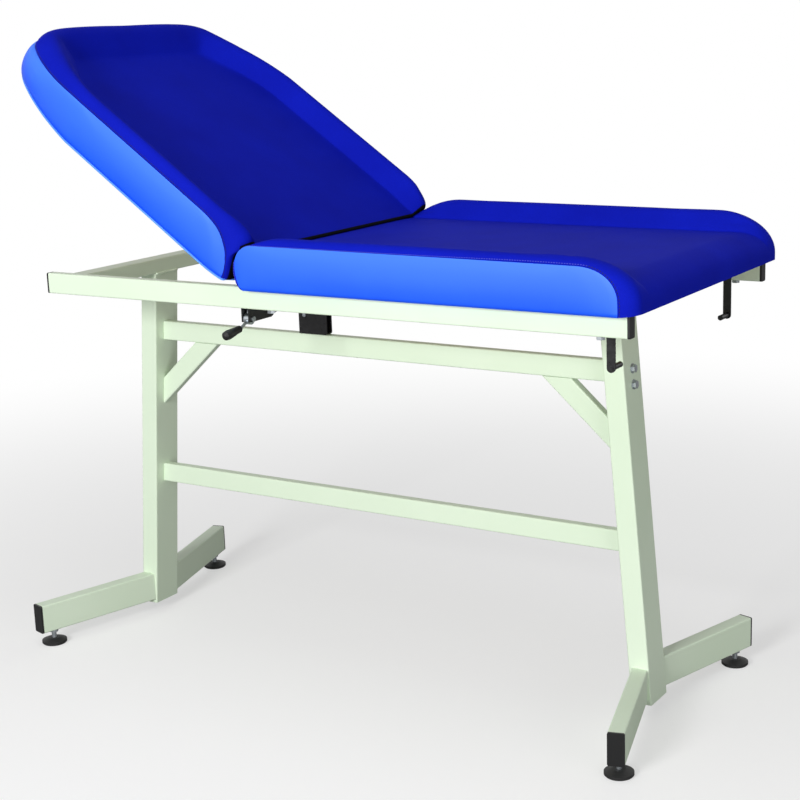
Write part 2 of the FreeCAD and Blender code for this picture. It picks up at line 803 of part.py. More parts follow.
mount = body("strut_mount", ("strut_foot_x", "0", "upper_stretcher_top"))
pad(
    mount,
    polygon(mount, "XZ_Plane", [
        ("0 - mount_back", "0"), ("mount_front - mount_corner", "0"),
        ("mount_front", "mount_corner"), ("mount_front", "mount_height * 0.7"),
        ("mount_front * 0.4", "mount_height"), ("0 - mount_back", "mount_height"),
    ]),
    "2 * strut_cheek_half",
)
pocket(
    mount,
    polygon(mount, "XZ_Plane", [
        ("0 - mount_back - 1", "cheek_thick"), ("mount_front + 1", "cheek_thick"),
        ("mount_front + 1", "mount_height + 1"), ("0 - mount_back - 1", "mount_height + 1"),
    ]),
    "strut_head_width + 2 * cheek_gap",
)
pocket(mount, disc(mount, "XZ_Plane", "strut_pin_radius", "0", "strut_foot_rise"),
       "4 * strut_cheek_half")

lower_pin = body("strut_pin_lower", ("strut_foot_x", "0", "strut_foot_z"))
pad(lower_pin, disc(lower_pin, "XZ_Plane", "strut_pin_radius"), "2 * strut_cheek_half + 3")


def strut_body(label):
    """Drawn along -X from the lower pin and turned to the strut's angle."""
    return body(label, ("strut_foot_x", "0", "strut_foot_z"),
                turn="strut_angle", axis=(0, 1, 0))


head = strut_body("strut_release_head")
pad(
    head,
    polygon(head, "XZ_Plane", [
        ("strut_head_back", "0 - strut_head_back"), ("strut_head_back", "strut_head_back"),
        ("0 - strut_head_front", "strut_head_back"),
        ("0 - strut_head_front", "0 - strut_head_back"),
    ]),
    "strut_head_width",
)
rounded(head, every(across, near("x", value("strut_head_back"))), "strut_head_back * 0.6")
pocket(head, disc(head, "XZ_Plane", "strut_pin_radius + pin_play"), "strut_head_width * 2")

rod = strut_body("strut_rod")
pad(rod, disc(rod, "YZ_Plane", "rod_radius", "0", "0", "0 - strut_head_front"),
    "rod_length", midplane=False, reverse=True)

cylinder = strut_body("strut_cylinder")
top = "0 - strut_span + eye_shank"
low = f"{top} + cylinder_length"
inner = "cylinder_radius - cylinder_wall"
revolve(
    cylinder,
    polygon(cylinder, "XZ_Plane", [
        (low, "rod_radius + pin_play"), (low, "cylinder_radius - 1"), (f"{low} - 1", "cylinder_radius"),
        (f"{top} + cylinder_neck", "cylinder_radius"), (top, "cylinder_radius - cylinder_neck"),
        (top, "0"), (f"{top} + cylinder_neck", "0"), (f"{top} + cylinder_neck", inner),
        (f"{low} - cylinder_neck", inner), (f"{low} - cylinder_neck", "rod_radius + pin_play"),
    ]),
    "H_Axis",
)
pad(
    cylinder,
    polygon(cylinder, "XZ_Plane", [
        ("0 - strut_span", "0 - eye_width / 2"), (f"{top} + 1", "0 - eye_width / 2"),
        (f"{top} + 1", "eye_width / 2"), ("0 - strut_span", "eye_width / 2"),
    ]),
    "eye_width",
)
pad(cylinder, disc(cylinder, "XZ_Plane", "strut_ring", "0 - strut_span"), "eye_width")
pocket(
    cylinder,
    disc(cylinder, "XZ_Plane", "strut_pin_radius + open_play", "0 - strut_span"),
    "eye_width * 2",
)

EYE_AT = ("0 - strut_eye_reach", "0 - strut_eye_drop")
upper = back_body("strut_bracket")
cheeks = "eye_width + 2 * (cheek_gap + cheek_thick)"
pad(
    upper,
    polygon(upper, "XZ_Plane", [
        (f"{EYE_AT[0]} - bracket_half", "lift"), (f"{EYE_AT[0]} + bracket_half", "lift"),
        (f"{EYE_AT[0]} + bracket_half * 0.6", f"{EYE_AT[1]} - bracket_half * 0.7"),
        (f"{EYE_AT[0]} - bracket_half * 0.6", f"{EYE_AT[1]} - bracket_half * 0.7"),
    ]),
    cheeks,
)
pad(
    upper,
    polygon(upper, "XZ_Plane", [
        (f"{EYE_AT[0]} - bracket_half * 1.8", "lift"), (f"{EYE_AT[0]} + bracket_half * 1.8", "lift"),
        (f"{EYE_AT[0]} + bracket_half * 1.8", "lift - cheek_thick"),
        (f"{EYE_AT[0]} - bracket_half * 1.8", "lift - cheek_thick"),
    ]),
    f"({cheeks}) * 2",
)
pocket(
    upper,
    polygon(upper, "XZ_Plane", [
        (f"{EYE_AT[0]} - bracket_half * 2", "lift - cheek_thick"),
        (f"{EYE_AT[0]} + bracket_half * 2", "lift - cheek_thick"),
        (f"{EYE_AT[0]} + bracket_half * 2", "-50"), (f"{EYE_AT[0]} - bracket_half * 2", "-50"),
    ]),
    "eye_width + 2 * cheek_gap",
)
pocket(upper, disc(upper, "XZ_Plane", "strut_pin_radius", *EYE_AT), "eye_width * 4")
upper_pin = back_body("strut_pin_upper")
pad(upper_pin, disc(upper_pin, "XZ_Plane", "strut_pin_radius", *EYE_AT), f"{cheeks} + 3")

# Release lever under the near rail, with a bulb grip and the outlet of its pull wire

lever_mount = body("lever_mount", ("lever_x", "0", "0"))
lever_slot = "(lever_hub_width + 2 * cheek_gap)"
cheek_sides = f"({lever_slot} + 2 * lever_cheek)"
pad(
    lever_mount,
    polygon(lever_mount, "YZ_Plane", [
        ("0 - lever_mount_outer", "rail_bottom"), ("0 - lever_mount_inner", "rail_bottom"),
        ("0 - lever_mount_inner", "lever_mount_bottom + lever_cheek"),
        ("0 - lever_mount_inner - lever_cheek * 2", "lever_mount_bottom"),
        ("0 - lever_mount_outer", "lever_mount_bottom"),
    ]),
    cheek_sides,
)
pocket(
    lever_mount,
    polygon(lever_mount, "YZ_Plane", [
        ("0 - lever_mount_outer - 1", "rail_bottom - lever_cheek"),
        ("0 - lever_mount_inner - lever_cheek", "rail_bottom - lever_cheek"),
        ("0 - lever_mount_inner - lever_cheek", "lever_mount_bottom - 1"),
        ("0 - lever_mount_outer - 1", "lever_mount_bottom - 1"),
    ]),
    lever_slot,
)
pad(
    lever_mount,
    polygon(lever_mount, "XY_Plane", [
        ("0", "0 - rail_inside"), ("lever_flange", "0 - rail_inside"),
        ("lever_flange", "0 - lever_mount_inner"), ("0", "0 - lever_mount_inner"),
    ], "rail_bottom"),
    "lever_cheek", midplane=False, reverse=True,
)
pocket(
    lever_mount, disc(lever_mount, "YZ_Plane", "lever_pin_radius", "lever_y", "lever_z"),
    f"{cheek_sides} * 2",
)
lever_pin = body("lever_pin", ("lever_x", "lever_y", "lever_z"))
pad(lever_pin, disc(lever_pin, "YZ_Plane", "lever_pin_radius"), cheek_sides)
pad(
    lever_pin, disc(lever_pin, "YZ_Plane", "lever_pin_head", "0", "0", f"{cheek_sides} / 2"),
    "lever_cheek * 0.8", midplane=False,
)

lever = body("lever_arm", ("lever_x", "lever_y", "lever_z"),
             turn="lever_drop_angle", axis=(1, 0, 0))
pad(lever, disc(lever, "YZ_Plane", "lever_hub_radius"), "lever_hub_width")
pad(
    lever,
    polygon(lever, "YZ_Plane", [
        ("0", "2"), ("lever_hub_radius", "lever_tail"), ("lever_hub_radius - 4", "lever_tail"),
        ("-4", "2"),
    ]),
    "lever_hub_width / 2",
)
route = new_sketch(lever, "YZ_Plane")
bend = measure(lever, "lever_rod_length")
held = (
    measure(lever, "grip_hold * cos(grip_rise)"), measure(lever, "grip_hold * sin(grip_rise)")
)
stops = [
    FreeCAD.Vector(0, 0, 0), FreeCAD.Vector(-bend, 0, 0),
    FreeCAD.Vector(-bend - held[0], held[1], 0),
]
for first, second in zip(stops, stops[1:]):
    route.addGeometry(Part.LineSegment(first, second), False)
route.addConstraint(Sketcher.Constraint("Coincident", 0, 2, 1, 1))
for point, x, y in (
    ((0, 1), "0", "0"), ((0, 2), "0 - lever_rod_length", "0"),
    ((1, 2), "0 - lever_rod_length - grip_hold * cos(grip_rise)", "grip_hold * sin(grip_rise)"),
):
    for kind, text in (("DistanceX", x), ("DistanceY", y)):
        number = route.addConstraint(Sketcher.Constraint(kind, -1, 1, *point, measure(lever, text)))
        bind(route, f"Constraints[{number}]", text)
bent_rod = lever.newObject("PartDesign::AdditivePipe", "lever_bent_rod")
bent_rod.Profile = disc(lever, "XZ_Plane", "lever_rod_radius")
bent_rod.Spine = (route, ["Edge1", "Edge2"])
bent_rod.Transition = "Round corner"
document.recompute()
pocket(lever, disc(lever, "YZ_Plane", "lever_pin_radius + pin_play"), "lever_hub_width * 2")

drop = "lever_drop_angle"
grip = body(
    "lever_grip",
    (
        "lever_x", f"lever_y - lever_rod_length * cos({drop})",
        f"lever_z - lever_rod_length * sin({drop})",
    ),
    turn=f"{drop} - grip_rise", axis=(1, 0, 0),
)
revolve(
    grip,
    polygon(grip, "YZ_Plane", [
        ("0 - grip_start", "lever_rod_radius"), ("0 - grip_start", "grip_neck_radius - 1"),
        ("0 - grip_start - 1", "grip_neck_radius"),
        ("0 - grip_length * 0.3", "grip_neck_radius + 0.5"),
        ("0 - grip_length * 0.75", "grip_end_radius"),
        ("0 - grip_length + 4", "grip_end_radius - 1"),
        ("0 - grip_length + 1", "grip_end_radius - 4"),
        ("0 - grip_length", "grip_end_radius - 7"), ("0 - grip_length", "0"),
        ("0 - grip_hold", "0"), ("0 - grip_hold", "lever_rod_radius"),
    ]),
    "H_Axis",
)

adjuster = body("lever_adjuster", ("lever_x", "0 - lever_mount_inner", "adjuster_z"))
pad(adjuster, polygon(adjuster, "XZ_Plane", hexagon("2 * adjuster_radius")),
    "adjuster_length", midplane=False, reverse=True)
pad(adjuster, disc(adjuster, "XZ_Plane", "outlet_radius"), "adjuster_length + outlet_length",
    midplane=False, reverse=True)

# Paper-roll holder: two strips hang from the board, each with a pin that points inwards

for side, sign in SIDES.items():
    strip = body(f"roll_strip_{side}", ("strip_x", f"{sign} * strip_y", "pad_bottom"))
    inward = side == "near"
    width = "strip_width / 2"
    pad(
        strip,
        polygon(strip, "XZ_Plane", [
            (f"0 - {width}", "0"), (width, "0"),
            (width, f"0 - strip_drop + {width}"), (f"0 - {width}", f"0 - strip_drop + {width}"),
        ]),
        "strip_thick", midplane=False, reverse=inward,
    )
    pad(strip, disc(strip, "XZ_Plane", width, "0", f"0 - strip_drop + {width}"),
        "strip_thick", midplane=False, reverse=inward)
    pad(
        strip,
        polygon(strip, "XY_Plane", [
            (f"0 - {width}", "0"), (width, "0"),
            (width, f"0 - {sign} * strip_foot"), (f"0 - {width}", f"0 - {sign} * strip_foot"),
        ]),
        "strip_thick", midplane=False, reverse=True,
    )
    pad(
        strip, disc(strip, "XZ_Plane", "roll_pin_radius", "0", "0 - strip_drop + roll_pin_rise"),
        "strip_thick + roll_pin_length", midplane=False, reverse=inward,
    )
    pad(
        strip, disc(strip, "XZ_Plane", "rivet_radius", "0", "0 - strip_drop + roll_pin_rise"),
        "rivet_height", midplane=False, reverse=not inward,
    )

# Checks and export

document.recompute()
for item in document.Objects:
    if "Invalid" in item.State or "Error" in item.State:
        raise RuntimeError(f"{item.Label} failed: {item.State}")
os.makedirs("parts", exist_ok=True)
for piece in nodes:
    shape = piece.Shape
    if shape.isNull() or not shape.isValid() or len(shape.Solids) != 1:
        raise RuntimeError(f"{piece.Label} is not one valid solid")
for piece in nodes:
    piece.Shape.exportStep(f"parts/{piece.Label}.step")
    print(f"{piece.Label}: {piece.Shape.Volume:.0f} mm3")
print(len(nodes), "pieces")
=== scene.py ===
# %% [markdown]
# # A pediatric examination couch
#
# The couch has a welded frame of cream coated steel tube, a padded seat and
# a padded backrest that leans on a lockable gas strut. Every rigid piece
# comes from the solid model, which is loaded first and never moved. What is
# made here is the upholstery, the weld beads, the materials and the studio.

# %% Load the solid model
import json
import math

import bmesh
import bpy
import numpy as np
from mathutils import Matrix, Vector
from mathutils.bvhtree import BVHTree


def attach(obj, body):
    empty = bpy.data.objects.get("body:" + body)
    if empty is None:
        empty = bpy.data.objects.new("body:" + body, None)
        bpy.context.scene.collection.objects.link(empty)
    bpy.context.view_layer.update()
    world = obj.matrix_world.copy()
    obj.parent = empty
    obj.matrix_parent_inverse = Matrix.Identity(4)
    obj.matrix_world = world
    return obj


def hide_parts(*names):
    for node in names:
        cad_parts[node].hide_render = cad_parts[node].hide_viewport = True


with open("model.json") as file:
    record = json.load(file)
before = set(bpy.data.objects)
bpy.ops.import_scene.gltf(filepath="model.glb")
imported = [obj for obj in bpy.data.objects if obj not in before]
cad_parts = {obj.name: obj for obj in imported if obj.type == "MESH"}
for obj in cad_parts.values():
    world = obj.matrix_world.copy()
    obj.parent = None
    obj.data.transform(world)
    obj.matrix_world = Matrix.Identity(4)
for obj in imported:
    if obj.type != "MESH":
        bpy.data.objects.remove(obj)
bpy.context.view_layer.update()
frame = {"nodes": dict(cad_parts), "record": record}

scene = bpy.context.scene
nodes = frame["nodes"]

# %% [markdown]
# Sizes are written in millimetres, as on a drawing, and Blender works in
# metres. The couch is drawn from the middle between its two posts, and the
# solid model stands a little off that point, so one function turns a place
# on the drawing into a place in the scene. The backrest is drawn lying flat
# on its hinge and then leaned back by the angle at which it stands. Both
# sides of the couch are alike, so a side that is drawn once is mirrored.

# %% From the drawing to the scene
MM = 0.001
OFFSET = np.array((51.0, 13.0, 0.0))
HINGE = (-156.5, 787.0)
RECLINE = math.radians(35)
MIRROR = np.array((1, -1, 1))


def on_couch(points):
    """Places on the drawing of the couch, x y z in mm, in the scene."""
    return (np.asarray(points, float) + OFFSET) * MM


def on_backrest(points):
    """Places on the flat drawing of the backrest in the scene.

    A point is its way s from the hinge, its y and its height w.
    """
    s, y, w = np.moveaxis(np.asarray(points, float), -1, 0)
    lean, rise = math.cos(RECLINE), math.sin(RECLINE)
    x = HINGE[0] - s * lean + w * rise
    z = HINGE[1] + s * rise + w * lean
    return on_couch(np.stack((x, y, z), -1))


print("hinge of the backrest at", on_backrest((0, 0, 0)).round(4))

# %% [markdown]
# The camera stands where the photographer stood: about three metres from the
# couch, a third of the way round from its long side and a little above it.
# The lens is a short telephoto, so the two ends of the couch are drawn
# nearly to one scale. Its axes are set from the angles by hand, because the
# photographer's camera was also turned by two degrees about its own axis.

# %% Camera
YAW, PITCH, ROLL = (math.radians(a) for a in (32.658, 13.277, -2.059))
AIM = Vector((46.284, 13.0, 537.0)) * MM
DISTANCE = 3132.24 * MM

behind = Vector((
    math.sin(YAW) * math.cos(PITCH), -math.cos(YAW) * math.cos(PITCH), math.sin(PITCH),
))
right = (-behind).cross(Vector((0, 0, 1))).normalized()
up = right.cross(-behind)
across = math.cos(ROLL) * right + math.sin(ROLL) * up
upward = -math.sin(ROLL) * right + math.cos(ROLL) * up

lens = bpy.data.cameras.new("camera")
lens.sensor_width = 36
lens.lens = 72.38
lens.clip_end = 100
camera = bpy.data.objects.new("camera", lens)
scene.collection.objects.link(camera)
turn = Matrix((across, upward, behind)).transposed().to_4x4()
camera.matrix_world = Matrix.Translation(AIM + behind * DISTANCE) @ turn
scene.camera = camera
print("camera at", tuple(round(c, 3) for c in camera.matrix_world.translation))

# %% [markdown]
# Colours are written as the hex values that a paint chart or a picture
# editor shows. Those are sRGB values, and a shader wants linear light, so
# one function turns them. A second small function adds a node with its
# settings and its links, which keeps each material short enough to read.

# %% Colour and node helpers


def colour(hex_value):
    """An sRGB hex colour as linear red, green, blue and alpha."""
    parts = [int(hex_value[i:i + 2], 16) / 255 for i in (1, 3, 5)]
    linear = [c / 12.92 if c <= 0.04045 else ((c + 0.055) / 1.055) ** 2.4 for c in parts]
    return (*linear, 1.0)


def add(tree, kind, settings=None, **links):
    """Adds a node, sets its properties and its inputs and returns it.

    What names an input sets that input, to a value or by a link from another
    node's output, and the rest are properties.
    """
    node = tree.nodes.new("ShaderNode" + kind)
    for name, given in {**(settings or {}), **links}.items():
        if not isinstance(name, int) and name not in node.inputs:
            setattr(node, name, given)
        elif isinstance(given, bpy.types.NodeSocket):
            tree.links.new(given, node.inputs[name])
        else:
            node.inputs[name].default_value = given
    return node


def finish_named(name, constants=None):
    """A new material, its tree and its shader with the plain values set."""
    material = bpy.data.materials.new(name)
    material.use_nodes = True
    tree = material.node_tree
    tree.nodes.clear()
    shader = add(tree, "BsdfPrincipled", constants)
    add(tree, "OutputMaterial", Surface=shader.outputs[0])
    return material, tree, shader


print("white is", colour("#FFFFFF"))

# %% [markdown]
# Most finishes are built alike: a pattern fixed to the piece, two close
# shades that follow it, a slight relief and a gloss that wanders. Each has
# its own small function. The patterns' sizes are those of the real surface
# in millimetres. A noise of scale n has about n features to a metre, and a
# wave texture of scale n has about three times as many bands.

# %% What most finishes share


def pattern(tree, kind, size, **settings):
    """A texture fixed to the piece, with its features about size mm apart."""
    per_metre = 1000 / size * (math.pi / 10 if kind == "Wave" else 1)
    place = add(tree, "TexCoord")
    return add(tree, "Tex" + kind, {"Scale": per_metre, **settings},
               Vector=place.outputs["Object"])


def shades(tree, shader, low, high, share):
    """The base colour, mixed from two by a pattern."""
    tint = add(tree, "MixRGB", {"Color1": colour(low), "Color2": colour(high)}, Fac=share)
    tree.links.new(tint.outputs["Color"], shader.inputs["Base Color"])
    return tint


def relief(tree, shader, strength, depth, height):
    """A relief that follows a pattern, with its depth in mm."""
    bump = add(tree, "Bump", {"Strength": strength, "Distance": depth * MM}, Height=height)
    tree.links.new(bump.outputs["Normal"], shader.inputs["Normal"])


def wandering_gloss(tree, shader, low, high, share, first=0.0, last=1.0):
    """A roughness between two values, by a pattern between two others."""
    spread = add(tree, "MapRange", {"From Min": first, "From Max": last,
                                    "To Min": low, "To Max": high}, Value=share)
    tree.links.new(spread.outputs["Result"], shader.inputs["Roughness"])


print("features 4 mm apart need a noise of scale", 1000 / 4)

# %% [markdown]
# The frame is steel tube with an epoxy powder coat in a warm cream white.
# Powder melts in the oven into a skin about 0.08 mm thick, with a faint
# orange peel of ripples 3 to 5 mm apart, and it pulls thin on edges. The eye
# gets a satin surface with soft, slightly broken reflections, so the bump is
# very low and the colour varies by a hair.

# %% Cream epoxy powder coat
ORANGE_PEEL = 4.2

cream_epoxy, tree, shader = finish_named("cream_epoxy_powder_coat", {
    "Roughness": 0.42, "IOR": 1.5, "Specular IOR Level": 0.35,
})
peel = pattern(tree, "Noise", ORANGE_PEEL, Detail=1.5, Roughness=0.4)
drift = pattern(tree, "Noise", 333, Detail=3.0)
share = add(tree, "MapRange", {"From Min": 0.3, "From Max": 0.7}, Value=drift.outputs["Fac"])
shades(tree, shader, "#DAEBD2", "#E1F0DA", share.outputs["Result"])
relief(tree, shader, 0.10, 0.2, peel.outputs["Fac"])
print("orange peel ripples", ORANGE_PEEL, "mm apart")

# %% [markdown]
# The end caps, the roll hooks' tips and the grip are injection moulded from
# black polyethylene or ABS. The mould is lightly spark eroded, which leaves
# a grain of about half a millimetre. That grain is too fine for a picture of
# the whole couch, so it is drawn at 1.2 mm, and it breaks up the highlight.

# %% Black moulded plastic
SPARK_GRAIN = 1.2

black_plastic, tree, shader = finish_named("black_moulded_plastic", {"IOR": 1.5})
grain = pattern(tree, "Noise", SPARK_GRAIN, Detail=2.0)
shades(tree, shader, "#050506", "#0D0D0F", grain.outputs["Fac"])
relief(tree, shader, 0.25, 0.2, grain.outputs["Fac"])
wandering_gloss(tree, shader, 0.38, 0.58, grain.outputs["Fac"])
print("moulded grain drawn at", SPARK_GRAIN, "mm")

# %% [markdown]
# The feet of the levelling screws are moulded rubber. Rubber scatters light
# more than plastic does, so it is duller, and dust greys it a little.

# %% Black rubber
DUST = 17

black_rubber, tree, shader = finish_named("black_moulded_rubber", {"Roughness": 0.62})
dust = pattern(tree, "Noise", DUST, Detail=4.0)
shades(tree, shader, "#0B0B0C", "#1A1A1A", dust.outputs["Fac"])
relief(tree, shader, 0.3, 0.3, dust.outputs["Fac"])
print("dust drawn in patches of", DUST, "mm")

# %% [markdown]
# Bolts, washers and screws are zinc plated steel, passivated clear. The
# plating is a metal with a bluish grey cast. It is fine grained and a little
# cloudy, so its roughness wanders from place to place.

# %% Zinc plated steel
CLOUD = 5.5

zinc_steel, tree, shader = finish_named("zinc_plated_steel", {"Metallic": 1.0})
cloud = pattern(tree, "Noise", CLOUD, Detail=3.0)
shades(tree, shader, "#A9B1B8", "#C9CED2", cloud.outputs["Fac"])
wandering_gloss(tree, shader, 0.26, 0.46, cloud.outputs["Fac"])
print("plating clouds", CLOUD, "mm wide")

# %% [markdown]
# The roll hooks, the strut's brackets and its release head are steel with
# black lacquer. It is glossier than moulded plastic and shows fine brush-like
# scratches where hands and rolls rub it.

# %% Black lacquered steel
RUB = 7

black_steel, tree, shader = finish_named("black_lacquered_steel")
rub = pattern(tree, "Noise", RUB, Detail=6.0, Roughness=0.7)
shades(tree, shader, "#0A0A0B", "#17171A", rub.outputs["Fac"])
relief(tree, shader, 0.12, 0.2, rub.outputs["Fac"])
wandering_gloss(tree, shader, 0.26, 0.5, rub.outputs["Fac"], 0.35, 0.75)
print("rub marks", RUB, "mm apart")

# %% [markdown]
# The strut's rod and the lever are ground and hard chromed, so they mirror
# the room with very little blur.

# %% Hard chromed rod
HAZE = 2.5

chromed_rod, tree, shader = finish_named("hard_chromed_steel", {
    "Base Color": colour("#C6CACC"), "Metallic": 1.0,
})
haze = pattern(tree, "Noise", HAZE, Detail=2.0)
wandering_gloss(tree, shader, 0.10, 0.20, haze.outputs["Fac"])
print("haze on the chrome", HAZE, "mm")

# %% [markdown]
# The cushions are glued to boards of birch plywood. Its face is a peeled
# veneer with long soft grain along the board, and it is pale and matt. The
# grain is stretched along X, with lines about 4 mm apart.

# %% Birch plywood
GRAIN_LENGTH, GRAIN_WIDTH = 167, 4

birch_plywood, tree, shader = finish_named("birch_plywood", {"Roughness": 0.7})
place = add(tree, "TexCoord")
stretch = add(tree, "Mapping", {
    "Scale": (1000 / GRAIN_LENGTH, 1000 / GRAIN_WIDTH, 1000 / GRAIN_WIDTH),
}, Vector=place.outputs["Object"])
veneer = add(tree, "TexNoise", {"Scale": 1.0, "Detail": 4.0, "Distortion": 0.6},
             Vector=stretch.outputs["Vector"])
shades(tree, shader, "#CDA775", "#E2C79A", veneer.outputs["Fac"])
relief(tree, shader, 0.2, 0.3, veneer.outputs["Fac"])
print("veneer lines", GRAIN_WIDTH, "mm apart")

# %% [markdown]
# The covers are PVC coated upholstery vinyl, calendered against an embossed
# roll. The emboss is a fine leather-like grain about 1 mm across, which is
# drawn at 1.6 mm so that it shows. Vinyl reflects like a plastic, but the
# grain spreads the highlight so wide that the cover only glows softly at
# grazing angles. The top is royal blue, and the band round the sides is a
# clearly lighter sky blue. Both come from one recipe with other colours. The
# band also gets a painted highlight: where it faces up and to the front it is
# painted in a paler shade, lighter than the lamps alone would make it.

# %% Embossed upholstery vinyl
EMBOSS = 1.6
# The painted highlight falls on faces that turn towards this way.
PAINTED_HIGHLIGHT_SIDE = (0.35, -0.6, 0.7)


def embossed_vinyl(name, deep, pale, rough, gloss, painted_highlight=None):
    """Vinyl in two close shades, with a painted highlight in a third on the side that faces up.
    """
    material, tree, shader = finish_named(name, {
        "Roughness": rough, "IOR": 1.5, "Specular IOR Level": gloss,
    })
    pebble = pattern(tree, "Voronoi", EMBOSS, feature="SMOOTH_F1", Smoothness=0.6)
    crease = pattern(tree, "Noise", 1.1, Detail=2.0)
    height = add(tree, "Math", {"operation": "ADD", 0: pebble.outputs["Distance"],
                                1: crease.outputs["Fac"]})
    drift = pattern(tree, "Noise", 111, Detail=3.0)
    share = add(tree, "Math", {"operation": "MULTIPLY", 0: drift.outputs["Fac"],
                               1: height.outputs["Value"]})
    tint = shades(tree, shader, deep, pale, share.outputs["Value"])
    relief(tree, shader, 0.22, 0.3, height.outputs["Value"])
    # Where a painted highlight is given, its paler shade is mixed in on faces turned towards
    # its side.
    if painted_highlight:
        way = add(tree, "NewGeometry")
        facing = add(tree, "VectorMath", {"operation": "DOT_PRODUCT",
                                          0: way.outputs["Normal"], 1: PAINTED_HIGHLIGHT_SIDE})
        painted_highlight_share = add(tree, "MapRange", {"From Min": 0.4, "From Max": 0.85,
                                        "interpolation_type": "SMOOTHSTEP"},
                     Value=facing.outputs["Value"])
        tint = add(tree, "MixRGB", {"Color1": tint.outputs["Color"], "Color2": colour(painted_highlight)},
                   Fac=painted_highlight_share.outputs["Result"])
        tree.links.new(tint.outputs["Color"], shader.inputs["Base Color"])
    return material


royal_vinyl = embossed_vinyl("royal_blue_embossed_vinyl", "#07139E", "#0B1DBC", 0.75, 0.06)
# The sky blue band gets a painted highlight in a paler blue.
sky_vinyl = embossed_vinyl("sky_blue_embossed_vinyl", "#0C50F4", "#1C60FC", 0.55, 0.3,
                           painted_highlight="#3F7CFF")
# The welt's paler blue is a painted highlight along the bottom fold.
welt_vinyl_painted_highlight = embossed_vinyl("welt_vinyl_pale_painted_highlight", "#4E90FF", "#66A2FF", 0.5, 0.3)
print("grain of the vinyl drawn at", EMBOSS, "mm")

# %% [markdown]
# Every solid piece gets the material of the finish that its maker's list
# gives it. The list names a slot for each piece, and this table names the
# material for each slot.

# %% Materials on the solid pieces
FINISHES = {
    "cream_epoxy": cream_epoxy, "black_plastic": black_plastic, "black_rubber": black_rubber,
    "zinc_steel": zinc_steel, "black_steel": black_steel, "chromed_rod": chromed_rod,
    "blue_vinyl": royal_vinyl, "plywood": birch_plywood,
}
for part in frame["record"]["subparts"]:
    mesh = nodes[part["node"]].data
    mesh.materials.clear()
    mesh.materials.append(FINISHES[part["material_slot"]])

# %% [markdown]
# The couch stands in a white room. The camera, and any mirror, sees the room
# as plain white. Other rays get a quarter of that from it, so that the room
# fills the shade without drowning the lamps.

# %% Room
ROOM_LIGHT = 0.26
world = bpy.data.worlds.new("room")
scene.world = world
world.use_nodes = True
tree = world.node_tree
tree.nodes.clear()
path = add(tree, "LightPath")
seen = path.outputs["Is Camera Ray"]
for ray in ("Is Glossy Ray", "Is Transmission Ray"):
    either = add(tree, "Math", {"operation": "MAXIMUM", 0: seen, 1: path.outputs[ray]})
    seen = either.outputs["Value"]
strength = add(tree, "MapRange", {"To Min": ROOM_LIGHT, "To Max": 1.0}, Value=seen)
glow = add(tree, "Background", {"Color": (1, 1, 1, 1), "Strength": strength.outputs["Result"]})
add(tree, "OutputWorld", Surface=glow.outputs["Background"])
print("room light", ROOM_LIGHT)

# %% [markdown]
# The floor is a pale disc that runs on into the room. Near the couch the
# camera sees it as a matt white floor with the couch's shadow, and further
# away it fades to plain white. To other rays the floor is a mid grey, or it
# would light the couch from below.

# %% Floor
FLOOR_RADIUS = 14.0
floor_mesh = bpy.data.meshes.new("floor")
drawn = bmesh.new()
bmesh.ops.create_circle(drawn, cap_ends=True, radius=FLOOR_RADIUS, segments=96)
drawn.to_mesh(floor_mesh)
drawn.free()
floor = bpy.data.objects.new("floor", floor_mesh)
floor.location.z = -0.0004
scene.collection.objects.link(floor)

floor_material = bpy.data.materials.new("pale_studio_floor")
floor_material.use_nodes = True
tree = floor_material.node_tree
tree.nodes.clear()
place = add(tree, "TexCoord")
reach = add(tree, "VectorMath", {"operation": "LENGTH", 0: place.outputs["Object"]})
fade = add(tree, "MapRange", {"From Min": 0.7, "From Max": 3.2, "To Min": 0.5,
                              "interpolation_type": "SMOOTHSTEP"},
           Value=reach.outputs["Value"])
matt = add(tree, "BsdfDiffuse", {"Color": colour("#FCFCFC")})
white = add(tree, "Emission", {"Color": (1, 1, 1, 1), "Strength": 1.0})
pale = add(tree, "MixShader", {0: fade.outputs["Result"], 1: matt.outputs["BSDF"],
                               2: white.outputs["Emission"]})
grey = add(tree, "BsdfDiffuse", {"Color": colour("#A8A8A8")})
path = add(tree, "LightPath")
mixed = add(tree, "MixShader", {0: path.outputs["Is Camera Ray"], 1: grey.outputs["BSDF"],
                                2: pale.outputs["Shader"]})
add(tree, "OutputMaterial", Surface=mixed.outputs["Shader"])
floor_mesh.materials.append(floor_material)
print("floor", floor_mesh.name, "of radius", FLOOR_RADIUS, "m")

# %% [markdown]
# In the photograph the long side is bright, the stretchers behind it are
# fully lit and the shade lies behind the raised rims. So the main lamp stands
# in front and fairly low. A weaker one low on the right lifts the side faces
# of the posts, and one overhead lights the tops of the cushions. All three
# are square and point at the middle of the couch.

# %% Lamps
LIT_POINT = Vector((0, 0, 0.75))
LAMPS = (
    ("key_lamp", (0.15, -4.4, 1.8), 160.0, 1.2),
    ("side_lamp", (3.6, -1.8, 0.5), 46.0, 2.0),
    ("top_lamp", (0.2, -0.6, 3.9), 20.0, 2.0),
)
for name, stand, watts, size in LAMPS:
    lamp = bpy.data.lights.new(name, "AREA")
    lamp.energy = watts
    lamp.size = size
    holder = bpy.data.objects.new(name, lamp)
    holder.location = stand
    aim = LIT_POINT - Vector(stand)
    holder.rotation_euler = aim.to_track_quat("-Z", "Y").to_euler()
    scene.collection.objects.link(holder)
scene.view_settings.view_transform = "Standard"
print(len(LAMPS), "lamps")

# %% [markdown]
# A cover is sewn from panels, and each panel is a sheet that bends smoothly
# in two directions. So each is made as a grid of points: rows along the
# cushion and columns across it, in an order that makes its faces look
# outward.

# %% A panel from a grid of points


